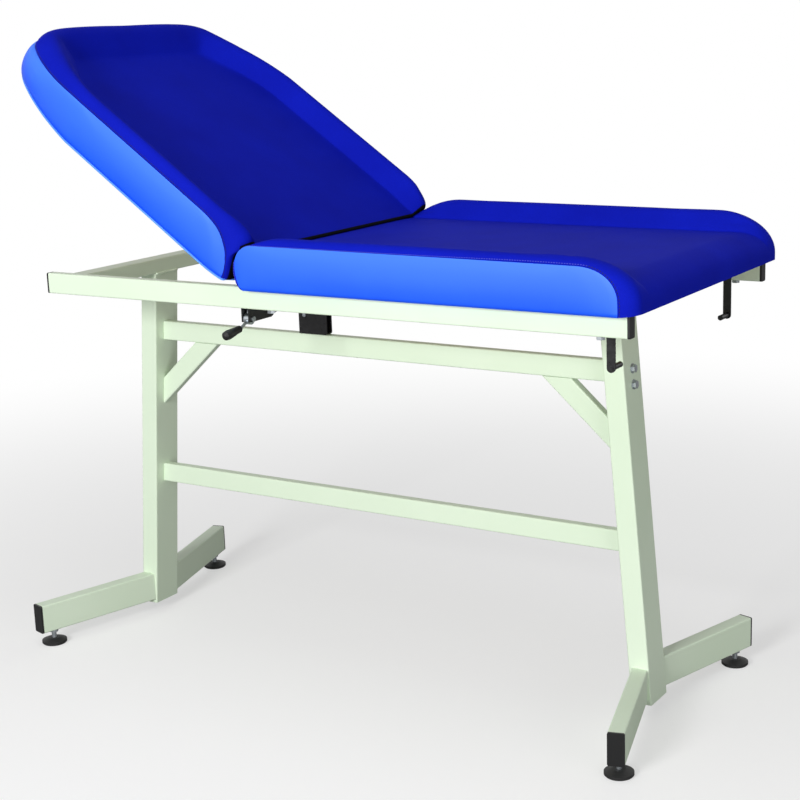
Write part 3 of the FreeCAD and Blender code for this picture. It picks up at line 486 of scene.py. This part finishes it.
def smooth_piece(name, points, faces, material):
    """A smooth mesh in the scene, from points in metres and its faces."""
    mesh = bpy.data.meshes.new(name)
    mesh.from_pydata(np.reshape(points, (-1, 3)).tolist(), [], faces)
    mesh.polygons.foreach_set("use_smooth", [True] * len(mesh.polygons))
    mesh.materials.append(material)
    mesh.update()
    made = bpy.data.objects.new(name, mesh)
    scene.collection.objects.link(made)
    return made


def numbered(grid):
    """The number of each point in a grid of points."""
    return np.arange(grid.shape[0] * grid.shape[1]).reshape(grid.shape[:2])


def panel(name, points, material):
    """A smooth sheet through a grid of points."""
    at = numbered(points)
    faces = np.stack((at[:-1, :-1], at[1:, :-1], at[1:, 1:], at[:-1, 1:]), -1)
    return smooth_piece(name, points, faces.reshape(-1, 4).tolist(), material)


print("a panel is a grid of quads")

# %% [markdown]
# Upholstery is tight: the foam is cut a little larger than its cover and
# pushes it out between the seams. Blender's cloth does just that. The panel
# is cloth with air pressure behind it and no weight. Its seams and its
# creases are held, and after twenty frames the shape is kept. Vinyl over firm
# foam hardly gives, so no point may move further than 2 mm, and the movement
# is eased off towards that limit.

# %% Let the foam press a cover out
FRAMES, PRESSURE, GIVE = 20, 4.0, 2.0


def press_out(piece, *held):
    """Cloth under pressure, held at some points. Returns the longest move."""
    start = np.empty(len(piece.data.vertices) * 3)
    piece.data.vertices.foreach_get("co", start)
    start = start.reshape(-1, 3)
    group = piece.vertex_groups.new(name="held")
    numbers = np.unique(np.concatenate([np.ravel(part) for part in held]))
    group.add(numbers.tolist(), 1.0, "REPLACE")
    cloth = piece.modifiers.new("vinyl", "CLOTH")
    cloth.settings.quality = 6
    cloth.settings.mass = 0.4
    cloth.settings.tension_stiffness = 60
    cloth.settings.compression_stiffness = 60
    cloth.settings.shear_stiffness = 30
    cloth.settings.bending_stiffness = 4
    cloth.settings.use_pressure = True
    cloth.settings.uniform_pressure_force = PRESSURE
    cloth.settings.vertex_group_mass = group.name
    cloth.settings.effector_weights.gravity = 0
    cloth.collision_settings.use_collision = False
    for moment in range(1, FRAMES + 1):
        scene.frame_set(moment)
    pressed = piece.evaluated_get(bpy.context.evaluated_depsgraph_get())
    end = np.empty(len(start) * 3)
    pressed.data.vertices.foreach_get("co", end)
    move = end.reshape(-1, 3) - start
    way = np.linalg.norm(move, axis=1)
    eased = GIVE * MM * np.tanh(way / (GIVE * MM))
    move *= (eased / np.maximum(way, 1e-9))[:, None]
    piece.modifiers.remove(cloth)
    piece.vertex_groups.clear()
    piece.data.vertices.foreach_set("co", (start + move).ravel())
    piece.data.update()
    scene.frame_set(1)
    return float(eased.max()) / MM


print("pressed for", FRAMES, "frames, unless this is a quick look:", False)

# %% [markdown]
# Three small tools draw the sections. A ramp climbs from 0 to 1 with a soft
# bend at each end: it shapes the slide from a rim down into the trough. A
# rounded end is a quarter of an ellipse. And where the photograph gives a
# free curve, a smooth line runs through a few points, evenly spaced.

# %% Tools for the sections


def ramp(t, start, end):
    """Climbs from 0 to 1 with a soft bend at the start and the end."""
    t = np.clip(np.asarray(t, float), 0, 1)
    slope = 1 / (1 - start - end)
    low = slope * t ** 2 / (4 * start)
    high = 1 - slope * (1 - t) ** 2 / (4 * end)
    return np.where(t < 2 * start, low, np.where(t > 1 - 2 * end, high, slope * (t - start)))


def line(start, end, steps):
    """Points from one place up to, but not at, another."""
    t = np.linspace(0, 1, steps, endpoint=False)[:, None]
    return np.asarray(start, float) * (1 - t) + np.asarray(end, float) * t


def rounded_end(centre, reach, power, steps):
    """A quarter of a rounded end, from its side to its top."""
    angle = np.linspace(0, math.pi / 2, steps)
    side = np.abs(np.cos(angle)) ** (2 / power)
    rise = np.abs(np.sin(angle)) ** (2 / power)
    return np.stack((centre[0] + reach[0] * side, centre[1] + reach[1] * rise), -1)


def spaced(points, count):
    """The same line with evenly spaced points."""
    points = np.asarray(points, float)
    run = np.concatenate(([0], np.cumsum(np.linalg.norm(np.diff(points, axis=0), axis=1))))
    at = np.linspace(0, run[-1], count)
    return np.stack([np.interp(at, run, points[:, k]) for k in range(points.shape[1])], -1)


def through(points, count):
    """A smooth line through points, evenly spaced, its ends included."""
    p = np.asarray(points, float)
    p = np.vstack((2 * p[0] - p[1], p, 2 * p[-1] - p[-2]))
    t = np.linspace(0, 1, 12, endpoint=False)[:, None]
    parts = [
        0.5 * (2 * b + (c - a) * t + (2 * a - 5 * b + 4 * c - d) * t ** 2
               + (3 * b - a - 3 * c + d) * t ** 3)
        for a, b, c, d in zip(p[:-3], p[1:-2], p[2:-1], p[3:])
    ]
    return spaced(np.vstack((*parts, p[-2])), count)


print("half way up a rim:", float(ramp(0.5, 0.3, 0.1)))

# %% [markdown]
# The seat has a rim along each long side and a flat trough between them that
# runs out over both ends. Three curves along the couch describe it: the seam
# on the side, the crest of the rim and the floor of the trough. They have
# equally many points, so a row of the cover joins matching points: it rounds
# over from the seam to the crest and slides down from the crest to the
# trough. The sides of the cushion are 325 mm from its middle. The band at the
# side hangs a little below the top of the rail, which stands 20 mm further
# in. The foam has sunk a little towards the foot end, where people sit down.

# %% Curves of the seat
HALF = 325.0
SEAT_BOTTOM, SIDE_BOTTOM = 800.4, 796.8
SINK = 3.5


def seat_curve(end, tuck, shoulder, top, nose_start, nose, power, bottom):
    """Along the seat: up its hinge end, along its top and down its nose.

    The end is tucked in at the bottom and rounded off at the shoulder. Each
    of these, and the nose, has a length along the seat and a height.
    """
    foot = rounded_end((end + tuck[0], bottom + tuck[1]), (-tuck[0], -tuck[1]), 1.7, 7)[::-1]
    corner = rounded_end((end + shoulder[0], top - shoulder[1]),
                         (-shoulder[0], shoulder[1]), 2, 20)
    tip = nose_start + nose[0]
    front = rounded_end((nose_start, top - nose[1]), nose, power, 24)[::-1]
    return np.vstack((
        foot, line(foot[-1], corner[0], 5)[1:], corner,
        line(corner[-1], front[0], 64)[1:], front,
        line(front[-1], (tip, bottom), 5)[1:], [(tip, bottom)],
    ))


def sunk(points):
    """The cushion with its top sunk more and more towards the foot end."""
    points = np.array(points, float)
    along = np.clip((points[..., 0] + 65) / 600, 0, 1)
    points[..., 2] -= SINK * along * np.clip((points[..., 2] - SIDE_BOTTOM) / 80, 0, 1)
    return points


seat_seam = seat_curve(end=-137, tuck=(16, 39), shoulder=(37, 38), top=878,
                       nose_start=532, nose=(75.5, 61), power=2.25, bottom=SIDE_BOTTOM)
seat_crest = seat_curve(end=-146, tuck=(14, 26), shoulder=(115, 65), top=892.5,
                        nose_start=522, nose=(116, 78), power=2.0, bottom=SEAT_BOTTOM)
seat_floor = seat_curve(end=-146, tuck=(14, 26), shoulder=(9, 9), top=856,
                        nose_start=578, nose=(60, 40), power=2.0, bottom=SEAT_BOTTOM)
print("points on each curve:", len(seat_seam), len(seat_crest), len(seat_floor))

# %% [markdown]
# The columns of a cover are closer together where it bends more: over the
# rounding at the rim and at the crease at the foot of the slope. A column is
# numbered by where it lies: 0 at the seam, 1 at the crest, 2 at the crease
# and 3 in the middle of the cushion. One more at each edge turns in under the
# seam, where the panel's margin is sewn.

# %% Columns across a cover
MARGIN = 5.0
SHARES = np.concatenate((
    1 - np.cos(np.linspace(0, math.pi / 2, 11)), np.linspace(1, 2, 24)[1:], [2.03],
    np.linspace(2.1, 3, 12),
))
CREASE = int(np.argmin(abs(SHARES - 2)))


def across(rounding, crease, half):
    """How far in from the side each column lies, row by row."""
    return np.stack([
        np.interp(SHARES, (0, 1, 2, 3), (0, r, c, h)) for r, c, h in zip(rounding, crease, half)
    ])


def over_the_rim(inward, rounding, crease):
    """How far up the rounding and down into the trough a point lies."""
    up_share = np.sqrt(np.clip(1 - (1 - np.clip(inward / rounding, 0, 1)) ** 2, 0, 1))
    return up_share, ramp((inward - rounding) / (crease - rounding), 0.16, 0.05)


def cover_rows(seam, crest, trough, rounding, crease):
    """Blends the three curves over the columns from the side to the middle."""
    inward = across(rounding, crease, np.full(len(seam), HALF))
    shares = over_the_rim(inward, rounding[:, None], crease[:, None])
    a, b = (part[..., None] for part in shares)
    half = seam[:, None] * (1 - a) + crest[:, None] * a * (1 - b) + trough[:, None] * a * b
    return np.stack((half[..., 0], HALF - inward, half[..., 1]), -1)


def both_sides(far_half):
    """Mirrors half a cover and turns its edges in under the seams."""
    tucked = far_half[:, :1] - np.array((0, MARGIN, 0))
    far_half = np.concatenate((tucked, far_half), 1)
    near_half = far_half * MIRROR
    return np.concatenate((near_half, far_half[:, -2::-1]), 1)


print(len(SHARES), "columns from a side to the middle")

# %% [markdown]
# The seat's cover is one panel. The rim is a narrow ridge: its crest lies
# only 15 mm in from the side, and its slope ends in a crease 60 mm in. Over
# the nose the ridge grows rounder. The margins, the creases and the two
# folded ends are held while the foam presses the cover out.

# %% Cover of the seat
ROUNDING, SEAT_CREASE = 15.0, 60.0

rounding = ROUNDING + 12 * ramp((seat_crest[:, 0] - 500) / 120, 0.3, 0.3)
seat_grid = both_sides(cover_rows(seat_seam, seat_crest, seat_floor, rounding,
                                  np.full(len(rounding), SEAT_CREASE)))
seat_cover = panel("seat_cover", on_couch(sunk(seat_grid)), royal_vinyl)
at = numbered(seat_grid)
moved = press_out(seat_cover, at[:8], at[-2:], at[:, :2], at[:, -2:],
                  at[:, CREASE + 1], at[:, -2 - CREASE])
print("seat cover of", *at.shape, "points, pressed out", round(moved, 1), "mm")

# %% [markdown]
# The band along each side of the seat fills the space between the seam and
# the bottom edge. Its rows are level, and each runs from the rounded hinge
# end to the nose, so the ends of the rows follow the seam. The foam behind it
# makes it bulge by a few millimetres between the seam and its fold at the
# bottom.

# %% Bands on the sides of the seat
CROWN, FOLD = 3.5, 12.0


def ends_at(curve, levels):
    """Where a curve crosses each level on its way up and on its way down."""
    top = np.flatnonzero(curve[:, 1] > curve[:, 1].max() - 1e-6)
    rise, fall = curve[:top[0] + 1], curve[top[-1]:][::-1]
    return np.interp(levels, rise[:, 1], rise[:, 0]), np.interp(levels, fall[:, 1], fall[:, 0])


share = np.sin(np.linspace(0, math.pi / 2, 22))
levels = SIDE_BOTTOM + (seat_seam[:, 1].max() - SIDE_BOTTOM) * share
first_x, last_x = ends_at(seat_seam, levels)
along = np.linspace(0, 1, 110)
band_x = first_x[:, None] * (1 - along) + last_x[:, None] * along
swell = np.sin(math.pi * share)[:, None] * np.clip(np.minimum(along, 1 - along) / 0.06, 0, 1)
band_y = HALF + CROWN * np.sqrt(np.clip(swell, 0, 1))
band_z = np.broadcast_to(levels[:, None], band_x.shape)
band = np.stack((band_x, -band_y, band_z), -1)
margin = band[-1:] + np.array((0, MARGIN, 0))
fold = band[:1].copy()
fold[..., 1] = -(HALF - FOLD)
hem = fold + np.array((0, 4, 3))
band = sunk(np.concatenate((hem, fold, band, margin), 0)[:, ::-1])
seat_bands = []
for side in ("near", "far"):
    grid = band if side == "near" else band[:, ::-1] * MIRROR
    piece = panel("seat_band_" + side, on_couch(grid), sky_vinyl)
    at = numbered(grid)
    moved = press_out(piece, at[:3], at[-2:], at[:, 0], at[:, -1])
    seat_bands.append(piece)
    print(piece.name, "pressed out", round(moved, 1), "mm")

# %% [markdown]
# The backrest is drawn flat. Its sides are straight from the hinge to
# two thirds of its length and then draw in, in a long curve, to a narrower
# head with wide round corners. The outline is half of that plan, from the
# hinge to the middle of the head.

# %% Outline of the backrest
BACK_LENGTH = 691.0
outline = np.vstack((
    line((0, HALF), (452, HALF), 46),
    through(((452, HALF), (467, 323), (482, 320.4), (511, 314.2), (545, 305), (584, 291.3),
             (620, 275.3), (646, 261), (666, 245.5), (680, 221), (687, 190), (689.5, 150),
             (690.5, 90), (BACK_LENGTH, 0)), 96),
))
run = np.concatenate(([0], np.cumsum(np.linalg.norm(np.diff(outline, axis=0), axis=1))))


def from_outline(points):
    """How far each point of the plan lies from the outline."""
    start, step = outline[:-1], np.diff(outline, axis=0)
    away = points[..., None, :] - start
    t = np.clip((away * step).sum(-1) / (step ** 2).sum(-1), 0, 1)
    return np.linalg.norm(away - t[..., None] * step, axis=-1).min(-1)


def on_outline(where):
    """The places in plan at some ways along the outline."""
    return np.stack([np.interp(where, run, outline[:, k]) for k in (0, 1)], -1)


print("the outline runs", round(2 * float(run[-1])), "mm round the backrest")

# %% [markdown]
# The backrest's cover has the same make-up as the seat's: a seam, a crest
# and a trough. Its hinge end is hollow, so that it closes round the end of
# the seat with a gap of a few millimetres, and that face is painted near
# black as painted shade of the deep gap. From the lip above it the cover
# rises to the crest.

# %% Curves of the backrest's hinge end
BACK_BOTTOM = 13.4
BACK_SEAM, BACK_CREST, BACK_FLOOR = 96.5, 118.5, 81.0
JOIN = 124.0
FACE_ROWS = 12

back_seam = np.vstack((
    through(((28.4, 17), (29.4, 25.6), (31.1, 33.4), (33.4, 40.8), (36.2, 47.8),
             (39.5, 53.1)), FACE_ROWS),
    through(((39.5, 53.1), (42.7, 59.8), (47, 65.6), (52, 70.7), (57.6, 75.5), (63.1, 80.2),
             (69.4, 84.5), (76.3, 88.2), (85, 91.2), (94, 93.4), (108, 95.4),
             (JOIN, BACK_SEAM)), 26)[1:],
))
back_crest = np.vstack((
    through(((18, 17.5), (18.5, 30), (23.6, 48), (27, 62), (28, 72), (26.5, 80),
             (22.5, 87), (18.5, 91)), FACE_ROWS),
    through(((18.5, 91), (19.3, 96), (23, 102.3), (30, 107.3), (38, 110.8), (52, 115),
             (66, 117.5), (85, BACK_CREST), (JOIN, BACK_CREST)), 26)[1:],
))
back_floor = np.vstack((
    spaced(((18, 17.5), (18.5, 34), (22, 46), (33.8, 64), (24, 70), (17.4, 74.4)), FACE_ROWS),
    spaced(((17.4, 74.4), (16.6, 77), (17.8, 79.6), (21, BACK_FLOOR),
            (JOIN, BACK_FLOOR)), 26)[1:],
))
print("rows on the hinge end:", len(back_seam), len(back_crest), len(back_floor))

# %% [markdown]
# Over the rest of the cushion, the height of a point depends on how far in
# from the outline it lies, so the rim runs on round the head. There the seam
# comes down and the ridge grows wider and rounder. The crest dips a little
# at the two corners and in the middle of the head.

# %% Cover of the backrest
DIP, BACK_CREASE = 3.5, 55.0


def seam_height(s):
    """The seam comes down towards the head."""
    return BACK_SEAM - 17 * ramp((s - 440) / 230, 0.1, 0.3)


def crest_height(s, y):
    """The crest dips at the head's corners and in its middle."""
    corner = ((s - 650) / 80) ** 2 + ((y - 235) / 80) ** 2
    middle = ((s - 680) / 70) ** 2 + ((y + 40) / 90) ** 2
    return BACK_CREST - DIP * (np.exp(-corner / 2) + np.exp(-middle / 2))


onward = np.concatenate((
    np.linspace(JOIN, 560, 44)[1:],
    np.linspace(560, 650, 18)[1:],
    BACK_LENGTH - 41 * (1 - np.sin(np.linspace(0, math.pi / 2, 18)[1:])),
))
climb = np.flatnonzero(np.diff(outline[:, 0]) > 1e-6)
edge = outline[np.append(climb, climb[-1] + 1)]
half_width = np.interp(onward, edge[:, 0], edge[:, 1])
rounding = ROUNDING + 14 * ramp((onward - 470) / 180, 0.3, 0.3)
crease = BACK_CREASE + 30 * ramp((onward - 470) / 150, 0.2, 0.2)
in_from_side = across(rounding, crease, np.maximum(half_width, crease + 1))
y = half_width[:, None] * (1 - in_from_side / in_from_side[:, -1:])
s = np.broadcast_to(onward[:, None], y.shape)
inward = from_outline(np.stack((s, y), -1))
up_share, down_share = over_the_rim(inward, rounding[:, None], crease[:, None])
w = seam_height(s) * (1 - up_share) + crest_height(s, y) * up_share
w -= (crest_height(s, y) - BACK_FLOOR) * up_share * down_share
near_hinge = 1 - ramp((back_crest[:, 0] - 25) / 75, 0.3, 0.3)
at_hinge = ROUNDING + 15 * near_hinge, BACK_CREASE + 7 * near_hinge
far_half = np.concatenate((
    cover_rows(back_seam, back_crest, back_floor, *at_hinge), np.stack((s, y, w), -1),
), 0)
back_grid = both_sides(far_half)[::-1]
back_cover = panel("back_cover", on_backrest(back_grid), royal_vinyl)
print("backrest cover of", *back_grid.shape[:2], "points")

# %% [markdown]
# The hinge end's face, deep in the gap beside the seat, is painted shade: a
# near black, matt material with a fine woven ripple. It needs no panel of its
# own: the faces of the cover round the lip and below it take that material,
# but for a strip of vinyl that wraps round each side.

# %% Painted shade on the hinge end
SHADE_RIPPLE, VINYL_COLUMNS = 2.0, 6

gap_shade_painted, tree, shader = finish_named("painted_shade_of_gap", {
    "Roughness": 0.95, "Specular IOR Level": 0.1,
})
# Near black in two shades, with a fine woven ripple: painted shade of the deep gap.
threads = pattern(tree, "Wave", SHADE_RIPPLE, Distortion=1.5, bands_direction="Z")
shades(tree, shader, "#040406", "#0B0B0E", threads.outputs["Fac"])
relief(tree, shader, 0.2, 0.3, threads.outputs["Fac"])
# The hinge end's faces, except the vinyl strips at the sides, take the painted shade.
back_cover.data.materials.append(gap_shade_painted)
face_at = numbered(back_grid[1:, 1:])
for index in face_at[-1 - FACE_ROWS:, VINYL_COLUMNS:-VINYL_COLUMNS].ravel():
    back_cover.data.polygons[int(index)].material_index = 1
print("threads drawn", SHADE_RIPPLE, "mm apart")

# %% [markdown]
# The foam presses the backrest's cover out like the seat's. The hinge end
# with its lip, the margins and the crease along the foot of the rim are held.
# Round the head the crease crosses rows and columns, so its points are those
# that lie about as far in from the outline as the crease does.

# %% Press the backrest's cover out
NEAR_CREASE = 2.2

at = numbered(back_grid)
on_crease = np.zeros(far_half.shape[:2], bool)
on_crease[:, CREASE] = True
on_crease[len(back_seam):] = abs(inward - crease[:, None]) < NEAR_CREASE
on_crease = np.pad(on_crease, ((0, 0), (1, 0)))
on_crease = np.concatenate((on_crease, on_crease[:, -2::-1]), 1)[::-1]
moved = press_out(back_cover, at[-FACE_ROWS - 2:], at[:1], at[:, :2], at[:, -2:],
                  at[on_crease])
print("backrest cover pressed out", round(moved, 1), "mm")

# %% [markdown]
# One long band runs round the backrest, from the hinge up one side, round
# the head and down the other. Its upper edge is the seam, and its lower edge
# is folded under and stapled to the board. The fold is wider at the head,
# because the board's corners are cut off. Near the hinge the bottom of the
# cushion is rounded up a little. Round the head the band bulges more.

# %% Band round the backrest
HEM, HEAD_HEM, HEAD_CROWN = 13.0, 27.0, 7.5
MIDDLE = np.array((330.0, 0.0))


def bottom_height(s):
    """The bottom edge, which lifts near the hinge end."""
    return BACK_BOTTOM + 6.5 * np.clip(1 - (np.asarray(s, float) - 16) / 60, 0, 1) ** 2


share = np.sin(np.linspace(0, math.pi / 2, 20))
start_s = np.interp(BACK_BOTTOM + share * (BACK_SEAM - BACK_BOTTOM),
                    back_seam[:, 1], back_seam[:, 0])
start_s[0] = back_seam[0, 0]
band_rows = []
for level, first in zip(share, start_s):
    where = first + (run[-1] - first) * np.linspace(0, 1, 140)
    plan = on_outline(where)
    tangent = np.gradient(plan, axis=0)
    tangent /= np.linalg.norm(tangent, axis=1)[:, None]
    crown = CROWN + HEAD_CROWN * ramp((plan[:, 0] - 540) / 110, 0.3, 0.3)
    swell = crown * np.sqrt(math.sin(math.pi * level)) * np.clip((where - first) / 30, 0, 1)
    plan = plan + np.stack((-tangent[:, 1], tangent[:, 0]), -1) * swell[:, None]
    low, high = bottom_height(plan[:, 0]), seam_height(plan[:, 0])
    band_rows.append(np.column_stack((plan, low + (high - low) * level)))
side = np.array(band_rows)


def moved_in(row, way):
    """A row of the band moved in towards the middle of the cushion."""
    to_middle = MIDDLE - row[:, :2]
    to_middle /= np.linalg.norm(to_middle, axis=1)[:, None]
    way = np.broadcast_to(way, len(row))[:, None]
    return np.column_stack((row[:, :2] + to_middle * way, row[:, 2]))


margin = moved_in(side[-1], MARGIN)[None]
hem_width = HEM + HEAD_HEM * np.clip((side[0][:, 0] - 560) / 60, 0, 1)
hem = moved_in(side[0], hem_width)[None]
side = np.concatenate((hem, side, margin), 0)
whole = np.concatenate((side * MIRROR, side[:, -2::-1]), 1)
back_band = panel("back_band", on_backrest(whole), sky_vinyl)
at = numbered(whole)
moved = press_out(back_band, at[:2], at[-2:], at[:, 0], at[:, -1])
print("backrest band of", *at.shape, "points, pressed out", round(moved, 1), "mm")

# %% [markdown]
# A thin welt, folded round a cord, is sewn in along the bottom edge of the
# backrest. Its vinyl is a paler blue than the band's, and that paleness is a
# painted highlight along the fold. It is a closed loop: along both sides,
# round the head and across the hinge end. A tube along a line makes it, with
# rings that stand square to the line.

# %% A tube along a line


def tube(name, path, radii, material, sides=10, closed=False):
    """A round tube along points in metres, with its own radius at each."""
    path = np.asarray(path, float)
    ahead = np.roll(path, -1, 0) - np.roll(path, 1, 0) if closed else np.gradient(path, axis=0)
    ahead /= np.linalg.norm(ahead, axis=1)[:, None]
    level = np.cross(ahead, (0.31, 0.17, 0.93))
    level /= np.linalg.norm(level, axis=1)[:, None]
    other = np.cross(ahead, level)
    angle = np.linspace(0, 2 * math.pi, sides, endpoint=False)[None, :, None]
    spokes = np.cos(angle) * level[:, None] + np.sin(angle) * other[:, None]
    rings = path[:, None] + np.asarray(radii)[:, None, None] * spokes
    at = numbered(rings)
    ends = [] if closed else [at[0, ::-1].tolist(), at[-1].tolist()]
    if closed:
        at = np.vstack((at, at[:1]))
    faces = np.stack((
        at[:-1], np.roll(at[:-1], -1, 1), np.roll(at[1:], -1, 1), at[1:],
    ), -1).reshape(-1, 4).tolist()
    return smooth_piece(name, rings, faces + ends, material)


print("a tube has ten sides unless it is told otherwise")

# %% [markdown]
# The welt lies on the fold of the band, a hair lower and further out. At the
# hinge end it turns the corner and runs straight across under the painted
# shade of the gap.

# %% Welt along the bottom of the backrest
WELT_RADIUS, WELT_DROP, WELT_OUT, CORNER_IN = 1.9, 0.4, 1.2, 28.0

side_run = side[1]
hinge_run = np.column_stack((
    np.full(30, back_crest[0, 0]), np.linspace(HALF - CORNER_IN, CORNER_IN - HALF, 30),
    np.full(30, back_crest[0, 1]),
))
far_corner = through((side_run[2], side_run[0] + (-4, -1, 0.3), (23, HALF - 13, 17.2),
                      hinge_run[0]), 10)[1:-1]
loop = np.vstack((
    (side_run * MIRROR)[2:], side_run[-2:1:-1], far_corner, hinge_run,
    (far_corner * MIRROR)[::-1],
))
loop[:, 2] -= WELT_DROP
loop[:, 1] *= 1 + WELT_OUT / HALF
welt = tube("back_welt", on_backrest(loop), np.full(len(loop), WELT_RADIUS * MM),
            welt_vinyl_painted_highlight, closed=True)
print("welt", round(float(np.linalg.norm(np.diff(loop, axis=0), axis=1).sum())), "mm long")

# %% [markdown]
# The cushions are sewn with bonded polyester thread, which is twisted and
# barely glossy. Along the seat it is nearly the blue of the cover. Round the
# nose and on the backrest it gets a near black copy, which is painted shade:
# the nose lies in shade, and on the backrest the needle holes do.

# %% Thread
TWIST = 0.35


def thread_finish(name, low, high, rough):
    """Twisted thread in two close shades."""
    material, tree, shader = finish_named(name, {"Roughness": rough})
    twist = pattern(tree, "Wave", TWIST, Distortion=0.5)
    shades(tree, shader, low, high, twist.outputs["Fac"])
    return material


thread = thread_finish("bonded_polyester_thread", "#3A40BE", "#4A50CE", 0.6)
# A near black copy of the same thread: painted shade.
thread_painted_shade = thread_finish("polyester_thread_painted_shade", "#04062E", "#0A0F48", 0.7)
print("thread twist drawn at", TWIST, "mm")

# %% [markdown]
# A line of stitches follows every seam on the dark cover, 3.5 mm from it.
# Each stitch is a short thread, 3 mm long and thickest in its middle, that
# dips into the vinyl at both ends, and the next one starts 4.6 mm further on.
# They are laid on the pressed cover by looking for the nearest point of it.

# %% Stitches along a seam
STITCH, PITCH_OF_STITCHES, BESIDE = 3.0, 4.6, 3.5
PROFILE = ((-0.5, 0.2), (-0.34, 0.7), (0.34, 0.7), (0.5, 0.2))
SIDES = 6


def stitches(name, cover, path, material):
    """Short threads along a path in metres, laid on a cover.

    The profile gives shares of a stitch's length and the radius there in mm.
    """
    run = np.linalg.norm(np.diff(path, axis=0), axis=1).sum()
    count = int(run / (PITCH_OF_STITCHES * MM))
    spots = spaced(path, count)
    ahead = np.gradient(spots, axis=0)
    ahead /= np.linalg.norm(ahead, axis=1)[:, None]
    surface = BVHTree.FromPolygons([v.co for v in cover.data.vertices],
                                   [p.vertices for p in cover.data.polygons])
    points, faces = [], []
    angle = np.linspace(0, 2 * math.pi, SIDES, endpoint=False)
    for spot, way in zip(spots, ahead):
        place, normal, _, _ = surface.find_nearest(Vector(spot))
        place, normal = np.array(place), np.array(normal)
        side = np.cross(normal, way)
        base = len(points)
        for share, radius in PROFILE:
            middle = place + way * share * STITCH * MM
            for a in angle:
                spoke = math.cos(a) * side + math.sin(a) * normal
                points.append(middle + spoke * radius * MM)
        for low in range(base, base + (len(PROFILE) - 1) * SIDES, SIDES):
            for k in range(SIDES):
                after = (k + 1) % SIDES
                faces.append((low + k, low + after, low + SIDES + after, low + SIDES + k))
    print(name, "has", count, "stitches")
    return smooth_piece(name, points, faces, material)


def beside_seam(seam, crest):
    """The line a little way up the rounding from a seam, on the far side."""
    rise = crest - seam
    share = np.clip(BESIDE / np.linalg.norm(rise, axis=1), 0, 0.6)[:, None]
    y = HALF - ROUNDING * (1 - np.sqrt(1 - share ** 2))
    return np.column_stack((seam + rise * share, y))[:, (0, 2, 1)]


print("a stitch every", PITCH_OF_STITCHES, "mm")

# %% [markdown]
# On the seat the line is light along the top, and round the nose it takes
# the thread with painted shade. On the backrest it is one line in that
# thread: up the hinge end, along a side, round the head and back down the
# other side.

# %% Rows of stitches
NOSE = 560

seat_line = beside_seam(seat_seam, seat_crest)[3:-1]
nose_at = int(np.argmax(seat_line[:, 0] > NOSE))
seat_threads = []
for side, flip in (("near", MIRROR), ("far", 1)):
    flipped = on_couch(sunk(seat_line * flip))
    seat_threads += [
        stitches("seat_stitches_" + side, seat_cover, flipped[:nose_at], thread),
        stitches("nose_stitches_" + side, seat_cover, flipped[nose_at - 1:], thread_painted_shade),
    ]

hinge_line = beside_seam(back_seam, back_crest)[1:]
plan = on_outline(np.linspace(JOIN, run[-1], 150)[1:])
head_line = np.column_stack((plan, seam_height(plan[:, 0]) + 3.4))
head_line = moved_in(head_line, 0.5)
back_line = np.concatenate((hinge_line, head_line), 0)
back_line = np.concatenate((back_line * MIRROR, back_line[-2::-1]), 0)
back_threads = stitches("back_stitches", back_cover, on_backrest(back_line), thread_painted_shade)
print(len(seat_threads) + 1, "rows of stitches")

# %% [markdown]
# The steel tubes are welded, ground where they would show and left as they
# came where they don't. A weld bead is a row of overlapping frozen ripples
# about 4 mm apart. It is a thin tube whose radius swells and shrinks along
# its length, sunk half into the corner that it fills, in the coat's colour.
# The posts' tops are welded to the crossbars above them, and the crossbars'
# ends to the two rails.

# %% Weld beads
RIPPLE = 4.3


def bead(name, corners, radius, wander=0.35):
    """A rippled weld along corners in mm, on the drawing of the couch."""
    corners = np.asarray(corners, float)
    length = np.linalg.norm(np.diff(corners, axis=0), axis=1).sum()
    path = spaced(corners, max(8, int(length / 0.9)))
    way = np.linspace(0, length, len(path))
    phase = 2 * math.pi * way / RIPPLE
    radii = radius * (1 + 0.16 * np.sin(phase) + 0.07 * np.sin(phase * 0.37 + 1.1))
    path = path + wander * np.stack((
        np.sin(way / 7.3), np.cos(way / 6.1), np.sin(way / 5.2 + 2.0),
    ), -1)
    radii[0] = radii[-1] = radius * 0.4
    made = tube(name, on_couch(path), radii * MM, cream_epoxy, sides=8)
    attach(made, "frame")
    return made


POSTS = (("head", -595.0), ("foot", 456.0))
BARS = (POSTS[0], ("hinge", -120.0), POSTS[1])
BAR_HALF, POST_HALF, RAIL_INSIDE = 20.0, 36.0, 285.0
POST_TOP, RAIL_SIDE = 760, (763, 787)

welds = []
for end, x in POSTS:
    for side, y in (("near", -POST_HALF), ("far", POST_HALF)):
        welds.append(bead(f"weld_{end}_post_{side}",
                          ((x - 18, y, POST_TOP), (x + 18, y, POST_TOP)), 3.2))
    for face, at_x in (("front", x + BAR_HALF + 0.2), ("rear", x - BAR_HALF - 0.2)):
        welds.append(bead(f"weld_{end}_post_{face}",
                          ((at_x, -34, POST_TOP), (at_x, 34, POST_TOP)), 2.6))
for bar, x in BARS:
    for side, y in (("near", -RAIL_INSIDE), ("far", RAIL_INSIDE)):
        for face, at_x in (("left", x - BAR_HALF), ("right", x + BAR_HALF)):
            welds.append(bead(f"weld_{bar}_bar_{side}_{face}",
                              [(at_x, y, z) for z in RAIL_SIDE], 2.2))
print(len(welds), "weld beads")

# %% [markdown]
# Each cushion's pieces ride on the body that carries them, and stand for the
# plain cushion of the solid model, which is hidden.

# %% Put the cushions in place
for piece in (seat_cover, *seat_bands):
    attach(piece, "frame")
for piece in (back_cover, back_band):
    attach(piece, "backrest")
for piece in seat_threads:
    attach(piece, "frame")
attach(back_threads, "backrest")
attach(welt, "backrest")
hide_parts("seat_pad")
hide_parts("back_pad")
print("cushions ride on the frame and the backrest")
